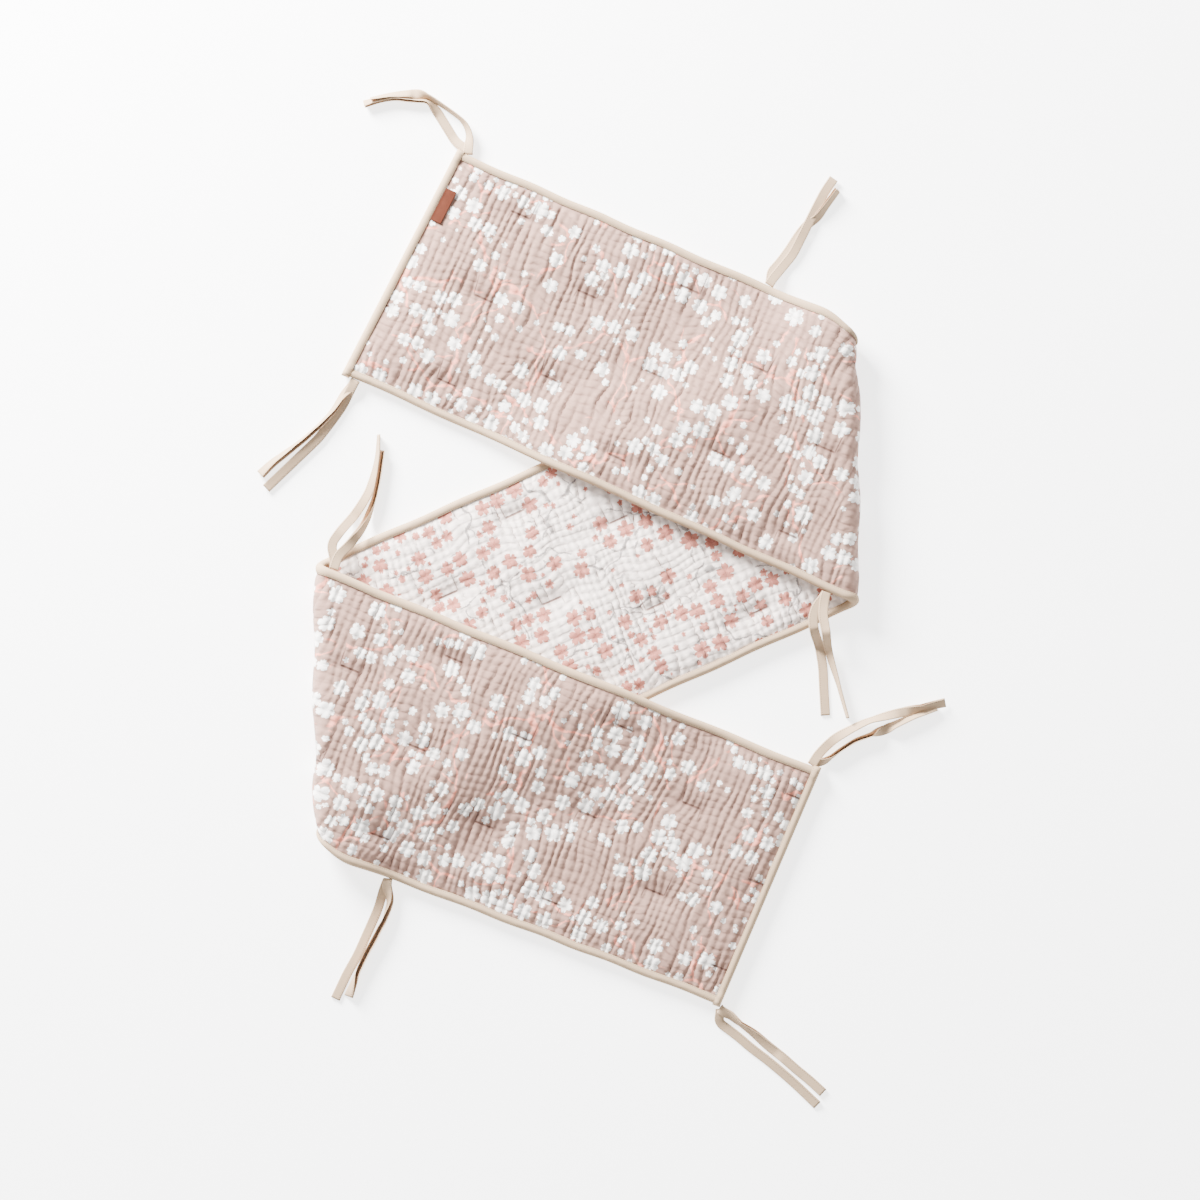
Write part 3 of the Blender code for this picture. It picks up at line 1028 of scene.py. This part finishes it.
    def spread(self) -> tuple[Array, Array]:
        """Grid lines: even along the strip, with the depth of the binding marked at both sides."""
        inner = 0.5 * self.strip.width - self.wall - self.bound_depth
        edge = 0.5 * self.strip.width - self.wall
        middle = np.linspace(-inner, inner, self.rows - 2)
        across = np.concatenate([[-edge], middle, [edge]])
        first = self.wall + self.bound_depth
        even = np.linspace(first, self.strip.length - first, self.columns - 2)
        centre = np.concatenate([[self.wall], even, [self.strip.length - self.wall]])
        return centre[:, None], across[None, :]

    def build(self, face_finish: PrintFinish, reverse_finish: PrintFinish) -> bpy.types.Object:
        """Make the closed pad: two faces joined by a wall round the edge.

        Args:
            face_finish: Print of the face.
            reverse_finish: Print of the reverse.

        Returns:
            The padded piece.
        """
        centre, across = self.spread()
        face, face_rib = self.layer(centre, across, Side.FACE)
        reverse, reverse_rib = self.layer(centre, across, Side.REVERSE)
        columns, rows = face.shape[:2]
        count = columns * rows
        index = np.arange(count).reshape(columns, rows)
        ring = np.concatenate([index[:, 0], index[-1, 1:], index[-2::-1, -1], index[0, -2:0:-1]])
        following = np.roll(ring, -1)
        wall = np.stack([ring, ring + count, following + count, following], axis=-1)
        faces = np.concatenate([grid_faces(columns, rows), grid_faces(columns, rows, count, True), wall])
        points = np.concatenate([face.reshape(-1, 3), reverse.reshape(-1, 3)])
        piece = make_mesh("quilted_pad", points, faces)
        along = self.strip.along(centre, across)
        flat = np.stack(np.broadcast_arrays(along / MM, across / MM, 0.0), axis=-1).reshape(-1, 3)
        write_vectors(piece, "strip", np.concatenate([flat, flat]))
        write_vectors(piece, "rib", np.concatenate([face_rib.reshape(-1, 3), reverse_rib.reshape(-1, 3)]))
        piece.data.materials.append(face_finish.make(self.lattice))
        piece.data.materials.append(reverse_finish.make(self.lattice))
        slots = np.zeros(len(faces), dtype=np.int32)
        slots[(columns - 1) * (rows - 1) : 2 * (columns - 1) * (rows - 1)] = 1
        piece.data.polygons.foreach_set("material_index", slots)
        finish_piece(piece, ("bumper_pad",))
        return piece


@dataclass
class Binding:
    """A folded strip of plain cloth round one edge of the pad."""

    strip: FoldedStrip
    pad: QuiltedPad
    cover: float = 0.0082
    cloth: float = 0.0010
    gap: float = 0.0003
    puff: float = 0.0015
    round_inset: float = 0.0030
    past_edge: float = 0.0015
    step: float = 0.003
    overhang: float = 0.002
    wander: float = 0.0004
    wander_pitch: float = 0.022
    swell: float = 0.0002
    inner_from: float = 0.0060
    step_up: float = 0.0019
    seed: int = 41

    @property
    def edge(self) -> float:
        """Distance from the centre line to the pad's long edge."""
        return 0.5 * self.strip.width - self.pad.wall

    def section(self) -> tuple[Array, Array, Array]:
        """The profile round an edge: a level cover on each face, and half an ellipse between them.

        Returns:
            Inset from the pad's edge, share of the covers' height with its sign, and extra puff.
        """
        cover = np.array([self.cover, 0.0076, 0.0064, 0.0046])
        turn = np.linspace(0.5 * np.pi, -0.5 * np.pi, 9)
        round_inset = self.round_inset - (self.round_inset + self.past_edge) * np.cos(turn)
        inset = np.concatenate([cover, round_inset, cover[::-1]])
        share = np.concatenate([np.ones(4), np.sin(turn), -np.ones(4)])
        cover_puff = self.puff * np.array([0.0, 0.10, 0.55, 0.90])
        puff = np.concatenate([cover_puff, np.full(9, self.puff), cover_puff[::-1]])
        return inset, share, puff

    def height(self, inset: Array, puff: Array) -> Array:
        """Height of the outer face off the middle surface: the bound edge, a gap, the cloth and its puff."""
        return self.pad.bound(inset) + self.gap + self.cloth + puff

    def tape_attribute(self, along: Array, points: Array) -> Array:
        """Millimetres along the binding and share of its width, for the finish to read."""
        section = distances(points[0])
        share = section / section[-1]
        return np.stack(np.broadcast_arrays(along[:, None] / MM, share[None, :], 0.0), axis=-1)

    def dress(self, name: str, points: Array, along: Array, node: str, finish: TapeFinish) -> bpy.types.Object:
        """Turn a grid of outer points into a thin walled piece of cloth.

        Args:
            name: Name of the piece.
            points: Outer face, station by station.
            along: Distance along the binding of each station.
            node: CAD node that it stands for.
            finish: Cloth of the binding.

        Returns:
            The piece.
        """
        piece = make_mesh(name, points, grid_faces(*points.shape[:2]))
        write_vectors(piece, "tape", self.tape_attribute(along, points))
        piece.data.materials.append(finish.make(0.045))
        face_outwards(piece, points)
        thicken(piece, self.cloth * 0.9)
        finish_piece(piece, (node,))
        return piece

    def build_long(self, edge: Edge, finish: TapeFinish) -> bpy.types.Object:
        """The binding of one long edge, its ends running in under the end bindings."""
        first = self.pad.wall + 0.0012
        steps = round((self.strip.length - 2.0 * first) / self.step)
        centre = np.linspace(first, self.strip.length - first, steps + 1)[:, None]
        inset, share, puff = self.section()
        row = np.full_like(centre, 3.5 + edge.value)
        wander = self.wander * SoftNoise(self.seed)(centre / self.wander_pitch, row)
        swell = self.swell * SoftNoise(self.seed + 1)(centre / 0.009, inset[None, :] / 0.004)
        inner = (inset > self.inner_from)[None, :]
        inset = inset[None, :] + np.where(inner, wander, 0.0)
        offset = share * (self.height(inset, puff) + np.where(inner, 0.0, swell))
        points = self.strip.lay(centre, edge.value * (self.edge - inset), offset)
        name = f"{edge.name.lower()}_binding"
        return self.dress(name, points, centre[:, 0], f"binding_{edge.name.lower()}", finish)

    def build_end(self, start: bool, finish: TapeFinish) -> bpy.types.Object:
        """The binding of one end: it lies over the long bindings and stands a little past them."""
        past = 0.5 * self.strip.width + self.overhang
        steps = round(2.0 * past / self.step)
        across = np.linspace(-past, past, steps + 1)[:, None]
        closing = np.clip((past - np.abs(across)) / 0.0015, 0.0, 1.0) ** 0.5
        inset, share, puff = self.section()
        over = smooth((np.abs(across) - self.edge + 0.0135) / 0.0035)
        row = np.full_like(across, 7.5 if start else 1.5)
        wander = self.wander * SoftNoise(self.seed + 2)(across / self.wander_pitch, row)
        inset = inset[None, :] + np.where((inset > self.inner_from)[None, :], wander, 0.0)
        rim = np.clip((self.edge - np.abs(across)) / self.pad.bound_depth, 0.0, 1.0)
        lowered = (self.pad.bound(inset) - self.pad.edge_half) * (1.0 - rim)
        offset = share * (self.height(inset, puff) + self.step_up * over - lowered) * (0.25 + 0.75 * closing)
        distance = self.pad.wall + inset
        centre = distance if start else self.strip.length - distance
        points = self.strip.lay(centre, across, offset)
        name = "first_end_binding" if start else "last_end_binding"
        node = "binding_start" if start else "binding_finish"
        return self.dress(name, points, across[:, 0], node, finish)


def face_outwards(piece: bpy.types.Object, points: Array) -> None:
    """Turn a folded cloth's faces so that they point away from the middle of its section.

    Args:
        piece: The piece whose faces may be turned.
        points: Its grid of points, station by station.
    """
    middle = len(points) // 2
    section = points[middle]
    half = len(section) // 2
    ahead = points[middle + 1, half] - section[half]
    side = section[half + 1] - section[half]
    outward = section[half] - section.mean(axis=0)
    if np.dot(np.cross(ahead, side), outward) < 0.0:
        piece.data.flip_normals()


@dataclass(frozen=True)
class Tail:
    """One end of a tie: its course over the page, and lists of values spread evenly from root to tip.

    The course is in millimetres. A roll of 0 degrees lies flat, and one of 90 stands on edge, fold down.
    """

    course: tuple[tuple[float, float], ...]
    rolls: tuple[float, ...] = (0.0,)
    openings: tuple[float, ...] = (0.0, 0.5, 1.5)
    heights: tuple[float, ...] = (0.0,)

    @staticmethod
    def spread(values: tuple[float, ...], share: Array) -> Array:
        """Values between those of a list whose entries lie evenly from 0 to 1."""
        return np.interp(share, np.linspace(0.0, 1.0, len(values)), values)


@dataclass(frozen=True)
class Tie:
    """A tape folded along its length and sewn on at its middle, so that it makes two tails."""

    name: str
    edge: Edge
    centre: float
    way_out: float
    low: Tail
    high: Tail
    drop_from: float = 0.0
    open_side: float = 1.0
    width: float = 0.0105
    fold_half: float = 0.0009
    loop: float = 0.0014
    root_gap: float = 0.0004
    thick: float = 0.0018
    drop_length: float = 0.030
    stub: float = 0.004
    stations: int = 72
    even_out: int = 3

    def root(self, strip: FoldedStrip, binding: Binding) -> Array:
        """The point just off the binding where the tape turns."""
        at_corner = min(self.centre, strip.length - self.centre) < binding.pad.wall
        past = binding.overhang if at_corner else 0.0
        across = self.edge.value * (0.5 * strip.width + past)
        point = strip.lay(np.array(self.centre), np.array(across), np.array(0.0))
        return point + self.out * (self.root_gap + self.loop + 0.5 * self.thick)

    @property
    def out(self) -> Array:
        """The way out of the loop."""
        heading = np.radians(self.way_out)
        return np.array([np.cos(heading), np.sin(heading), 0.0])

    def way(self, tail: Tail, root: Array) -> tuple[Array, Array]:
        """One tail's course over the page: straight runs between its points, evened out by a running mean.

        The ends are carried on by a turned copy of the course, so that the mean leaves them in place.

        Args:
            tail: The tail.
            root: Where the tape turns.

        Returns:
            Its places, and the distance along it of each.
        """
        stub = root[:2] + self.stub * self.out[:2]
        points = np.concatenate([[root[:2], stub], np.array(tail.course) * MM])
        knots = distances(points)
        distance = np.linspace(0.0, knots[-1], self.stations)
        line = np.stack([np.interp(distance, knots, points[:, axis]) for axis in (0, 1)], axis=-1)
        size = 2 * self.even_out + 1
        padded = np.pad(line, ((self.even_out, self.even_out), (0, 0)), mode="reflect", reflect_type="odd")
        windows = np.lib.stride_tricks.sliding_window_view(padded, size, axis=0)
        return windows.mean(axis=-1), distance

    def run(self, tail: Tail, root: Array, base: float) -> tuple[Array, Array, Array, Array]:
        """One tail from its root: it falls from the binding to the floor, and turns about its own length.

        Args:
            tail: The tail.
            root: Where the tape turns.
            base: Height of the tail's start off the root.

        Returns:
            Centres, side directions, headings as vectors, and openings.
        """
        place, distance = self.way(tail, root)
        share = distance / distance[-1]
        slope = np.gradient(place, axis=0)
        heading = np.arctan2(slope[:, 1], slope[:, 0])
        roll = np.radians(tail.spread(tail.rolls, share)) * smooth(share / 0.12)
        opening = tail.spread(tail.openings, share) * MM
        height = tail.spread(tail.heights, share) * MM
        standing = 0.5 * self.width * np.abs(np.sin(roll))
        lowest = 0.0002 + standing + (self.fold_half + 0.5 * opening) * np.abs(np.cos(roll))
        fall = smooth((distance - self.drop_from) / self.drop_length)
        z = (root[2] + base) * (1.0 - fall) + (lowest + height) * fall
        flat = np.cos(roll)
        side = np.stack([-np.sin(heading) * flat, np.cos(heading) * flat, np.sin(roll)], axis=-1)
        ahead = np.stack([np.cos(heading), np.sin(heading), np.zeros_like(heading)], axis=-1)
        return np.concatenate([place, z[:, None]], axis=1), side, ahead, opening

    def section(self) -> tuple[Array, Array, Array]:
        """The folded tape's profile: a flap, a half turn and a flap.

        Returns:
            Place across the tape, height off its middle, and how much an opening lifts each point.
        """
        flap = np.linspace(0.5, -0.5, 7)
        turn = np.linspace(0.5 * np.pi, -0.5 * np.pi, 7)[1:-1]
        bend = -0.5 * self.width - self.fold_half * np.cos(turn)
        across = np.concatenate([flap * self.width, bend, flap[::-1] * self.width])
        height = np.concatenate([np.ones(7), np.sin(turn), -np.ones(7)]) * self.fold_half
        lift = np.concatenate([(flap + 0.5) ** 1.3, np.zeros(5), -((flap[::-1] + 0.5) ** 1.3)])
        return across, height, lift

    def build(
        self, strip: FoldedStrip, binding: Binding, finish: TapeFinish, inner: bpy.types.Material
    ) -> bpy.types.Object:
        """Carry the folded section along both tails and the small loop that joins them.

        Args:
            strip: The folded strip.
            binding: The binding that holds the tie.
            finish: Cloth of the tape.
            inner: Material of the tape's inner side.

        Returns:
            The piece.
        """
        root = self.root(strip, binding)
        low = self.run(self.low, root, -self.loop)
        high = self.run(self.high, root, self.loop)
        out = self.out
        up = np.array([0.0, 0.0, 1.0])
        turn = np.linspace(-0.5 * np.pi, 0.5 * np.pi, 9)[1:-1, None]
        loop = root - np.cos(turn) * self.loop * out + np.sin(turn) * self.loop * up
        loop_ahead = np.sin(turn) * out + np.cos(turn) * up
        centres = np.concatenate([low[0][::-1], loop, high[0]])
        sides = np.concatenate([low[1][::-1], np.repeat(high[1][:1], len(turn), axis=0), high[1]])
        ahead = np.concatenate([-low[2][::-1], loop_ahead, high[2]])
        opening = np.concatenate([low[3][::-1], np.zeros(len(turn)), high[3]])
        normal = np.cross(ahead, sides)
        normal = normal / np.linalg.norm(normal, axis=1, keepdims=True)
        across, height, lift = self.section()
        across_way = sides[:, None, :] * (self.open_side * across)[None, :, None]
        rise = height[None, :] + 0.5 * opening[:, None] * lift[None, :]
        points = centres[:, None, :] + across_way + normal[:, None, :] * rise[:, :, None]
        points[..., 2] = np.maximum(points[..., 2], 0.0002)
        along = distances(centres)
        share = np.linspace(0.0, 1.0, points.shape[1])
        piece = make_mesh(f"{self.name}_tape", points, grid_faces(*points.shape[:2]))
        tape = np.stack(np.broadcast_arrays(along[:, None] / MM, share[None, :], 0.0), axis=-1)
        write_vectors(piece, "tape", tape)
        piece.data.materials.append(finish.make(0.06))
        piece.data.materials.append(inner)
        face_outwards(piece, points)
        thicken(piece, 0.00045, 1)
        finish_piece(piece, (self.name,))
        return piece


@dataclass
class LeatherTab:
    """A small bare leather tab lying on the face, against the binding of the first end."""

    strip: FoldedStrip
    pad: QuiltedPad
    from_corner: float = 0.048
    length: float = 0.043
    width: float = 0.014
    thick: float = 0.0015
    start: float = 0.0101

    def build(self, finish: LeatherFinish) -> bpy.types.Object:
        """A thin slab that follows the pad's bound edge up on to its crown."""
        centre = np.linspace(self.start, self.start + self.width, 12)[:, None]
        top = 0.5 * self.strip.width - self.from_corner
        across = np.linspace(top - self.length, top, 30)[None, :]
        share, _ = self.pad.tack_share(self.strip.along(centre, across), across)
        half = self.pad.half_thickness(centre, across, share)
        curl = 0.0006 * ((across - top + 0.5 * self.length) / (0.5 * self.length)) ** 2
        points = self.strip.lay(centre, across, half + 0.0008 + self.thick + curl)
        piece = make_mesh("bare_leather_tab", points, grid_faces(12, 30))
        piece.data.materials.append(finish.make())
        thicken(piece, self.thick)
        bevel = piece.modifiers.new("soft_edge", "BEVEL")
        bevel.width = 0.0003
        bevel.segments = 2
        bevel.limit_method = "ANGLE"
        finish_piece(piece, ("leather_tab",))
        return piece


def inner_tape_material() -> bpy.types.Material:
    """The shaded inner side of the folded tapes."""
    return new_material("tape_inside", (0.46, 0.31, 0.20), 0.95).material


def ties() -> tuple[Tie, ...]:
    """The eight ties: where each is sewn on, the way out of its loop, and its lower and its upper tail."""
    return (
        Tie("tie_1", Edge.UPPER, 0.0150, 105.0,
            Tail(((-176, 541), (-192, 567), (-207, 591), (-230, 592), (-248, 595), (-266, 593), (-286, 587)),
                 (0, 0, 0, 0, 60, 65, 60, 50, 40), (0, 0, 0.5, 1.0, 2.0, 2.0, 1.5)),
            Tail(((-159, 541), (-160, 555), (-167, 567), (-180, 577), (-202, 592), (-213, 598), (-230, 599),
                  (-254, 597), (-278, 592)),
                 (0, -50, -75, -75, -70, 30, 50, 60), (0, 0, 0, 1.0, 1.5, 3.5), (1, 1, 1, 3, 2, 1))),
        Tie("tie_2", Edge.UPPER, 0.4740, 66.6,
            Tail(((201, 385), (212, 397), (224, 413), (234, 429), (244, 442), (258, 451), (268, 465), (282, 484)),
                 (0, -10, -12, -10, 30, 50, 55), (0, 0, 0.3, 0.8, 2.0)),
            Tail(((213, 389), (228, 407), (238, 427), (246, 443), (255, 461), (266, 482), (277, 498)),
                 (0, 0, 8, 8, 0), (0, 0.3, 0.5), (1, 3, 4, 4, 3))),
        Tie("tie_3", Edge.LOWER, 0.0180, -114.0,
            Tail(((-311, 238), (-322, 220), (-337, 204), (-357, 186), (-378, 170), (-397, 156), (-410, 143)),
                 (0, 45, 62, 66, 62, 45, 20), (0, 2.0, 3.0, 3.0, 4.0)),
            Tail(((-302, 243), (-311, 225), (-323, 208), (-340, 186), (-361, 166), (-382, 146), (-403, 126)),
                 (0, -15, -15, -15, -10), (0, 0.3, 0.5), (1, 2, 1))),
        Tie("tie_4", Edge.UPPER, 1.3250, 68.0,
            Tail(((-324, 59), (-308, 81), (-291, 104), (-280, 122), (-273, 145), (-269, 167), (-268, 191)),
                 (0, 0, 0, -25, -60, -75), (0, 0.3, 0.5), (0,)),
            Tail(((-316, 45), (-303, 57), (-289, 74), (-279, 95), (-272, 116), (-267, 142), (-263, 172)),
                 (0, 10, 50, 82, 86, 86), (0, 1.0, 4.5, 4.5, 4.5), (1, 1, 0)), 0.045),
        Tie("tie_5", Edge.LOWER, 0.5480, -114.0,
            Tail(((254, -15), (250, -30), (252, -45), (260, -63), (264, -88), (265, -111), (267, -146)),
                 (0,), (0, 0.3, 0.3), (0,)),
            Tail(((262, -25), (265, -40), (268, -57), (274, -80), (282, -106), (288, -128), (294, -149)),
                 (0, 20, 50, 75, 80), (0, 0.3, 0.0), (1, 1, 0)), 0.045, -1.0),
        Tie("tie_6", Edge.LOWER, 1.3960, -111.0,
            Tail(((-261, -352), (-269, -379), (-281, -406), (-293, -433), (-306, -456), (-320, -486)),
                 (0,), (0, 0.3, 0.5), (0,)),
            Tail(((-254, -368), (-262, -391), (-273, -413), (-283, -431), (-293, -451), (-304, -483)),
                 (0, 60, 86, 88, 80, 20), (0, 4.0, 5.5, 4.5, 0.5), (1, 1, 0))),
        Tie("tie_7", Edge.LOWER, 1.8900, -66.0,
            Tail(((138, -512), (147, -519), (162, -530), (178, -544), (198, -559), (216, -574), (234, -590),
                  (258, -613)),
                 (0, 10, 15, 10), (0, 0.3, 0.5), (0,)),
            Tail(((151, -502), (162, -513), (181, -526), (198, -541), (216, -555), (234, -571), (250, -584),
                  (265, -598)),
                 (0, 60, 20, -10, 0, 0), (0, 2.0, 0.5, 0.3), (1, 1, 1))),
        Tie("tie_8", Edge.UPPER, 1.8775, 68.0,
            Tail(((262, -203), (273, -197), (286, -187), (302, -176), (321, -170), (338, -163), (357, -154),
                  (379, -144), (400, -135)),
                 (0, 70, 84, 75, -50, -60, -30), (0, 3.5, 4.5, 1.0, 0.3)),
            Tail(((261, -189), (278, -173), (296, -163), (316, -153), (337, -147), (357, -142), (379, -137),
                  (411, -130)),
                 (0, 0, -40, -60, -20, 50, 15), (0, 0.3, 0.5, 1.0, 1.5, 0.5), (1, 3, 3))),
    )


def main() -> None:
    """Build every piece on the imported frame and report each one."""
    logging.basicConfig(level=logging.INFO, format="%(message)s")
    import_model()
    strip = FoldedStrip()
    pad = QuiltedPad(strip)
    face_print = PrintFinish(
        name="face_print",
        ground=(0.335, 0.200, 0.155),
        petal=(0.88, 0.84, 0.80),
        heart=(0.58, 0.46, 0.42),
        heart_strength=0.45,
        twig=(0.76, 0.265, 0.185),
        twig_half_width=1.35,
        # Colour of the painted shade in the rib valleys and at the tacks.
        painted_crease_shade=(0.075, 0.032, 0.022),
        painted_crease_shade_strength=0.90,
        seed=3.1,
    )
    reverse_print = PrintFinish(
        name="reverse_print",
        ground=(0.84, 0.73, 0.67),
        petal=(0.46, 0.170, 0.128),
        heart=(0.26, 0.07, 0.05),
        heart_strength=0.6,
        twig=(0.24, 0.21, 0.20),
        twig_half_width=1.2,
        # Colour of the painted shade in the rib valleys and at the tacks.
        painted_crease_shade=(0.16, 0.08, 0.06),
        painted_crease_shade_strength=0.92,
        seed=7.7,
        flower_pitch=24.0,
        reach=12.0,
    )
    pad.build(face_print, reverse_print)
    tape = TapeFinish()
    binding = Binding(strip, pad)
    for edge in Edge:
        binding.build_long(edge, tape)
    for start in (True, False):
        binding.build_end(start, tape)
    LeatherTab(strip, pad).build(LeatherFinish())
    Stage().build()
    inner = inner_tape_material()
    for tie in ties():
        tie.build(strip, binding, tape, inner)


@dataclass
class Stage:
    """Pale floor, soft light from the upper left, and a camera looking straight down."""

    frame_width: float = 1.44
    photo_size: float = 1200.0
    photo_centre: tuple[float, float] = (601.5, 598.5)
    camera_height: float = 4.0
    sensor: float = 36.0
    floor_size: float = 12.0
    origin: tuple[float, float] = (0.0011, 0.0056)
    floor_colour: Colour = (0.92, 0.92, 0.92)
    floor_glow: float = 2.8
    surround: float = 1.15
    lamp_size: float = 1.4
    lamp_energy: float = 1260.0
    lamp_place: tuple[float, float, float] = (-1.8, 2.5, 1.25)

    def build(self) -> None:
        """Make the floor, the lights and the camera."""
        self.make_floor()
        self.make_lights()
        self.make_camera()

    def make_floor(self) -> None:
        """A pale matt floor under the object."""
        half = 0.5 * self.floor_size
        line = np.array([-half, half])
        points = np.stack(np.broadcast_arrays(line[:, None], line[None, :], 0.0), axis=-1)
        floor = make_mesh("floor", points, grid_faces(2, 2))
        bench = new_material("floor_paper", self.floor_colour, 0.9)
        bench.set("Emission Color", (1.0, 1.0, 1.0, 1.0))
        bench.set("Emission Strength", self.floor_glow)
        floor.data.materials.append(bench.material)

    def make_lights(self) -> None:
        """A large soft light from the upper left and an even pale surrounding."""
        world = bpy.data.worlds.new("surround")
        bpy.context.scene.world = world
        world.use_nodes = True
        ground = world.node_tree.nodes["Background"]
        ground.inputs["Color"].default_value = (1.0, 1.0, 1.0, 1.0)
        ground.inputs["Strength"].default_value = self.surround
        lamp = bpy.data.lights.new("soft_box", "AREA")
        lamp.shape = "DISK"
        lamp.size = self.lamp_size
        lamp.energy = self.lamp_energy
        place = bpy.data.objects.new("soft_box", lamp)
        bpy.context.collection.objects.link(place)
        place.location = self.lamp_place
        place.rotation_euler = (-Vector(place.location)).to_track_quat("-Z", "Y").to_euler()

    def make_camera(self) -> None:
        """A long lens straight above the middle of the photographed frame."""
        data = bpy.data.cameras.new("camera")
        data.sensor_width = self.sensor
        data.lens = self.sensor * self.camera_height / self.frame_width
        camera = bpy.data.objects.new("camera", data)
        bpy.context.collection.objects.link(camera)
        scale = self.frame_width / self.photo_size
        middle = 0.5 * self.photo_size
        x = (middle - self.photo_centre[0]) * scale - self.origin[0]
        y = (self.photo_centre[1] - middle) * scale - self.origin[1]
        camera.location = (x, y, self.camera_height)
        bpy.context.scene.camera = camera


if __name__ == "__main__":
    main()
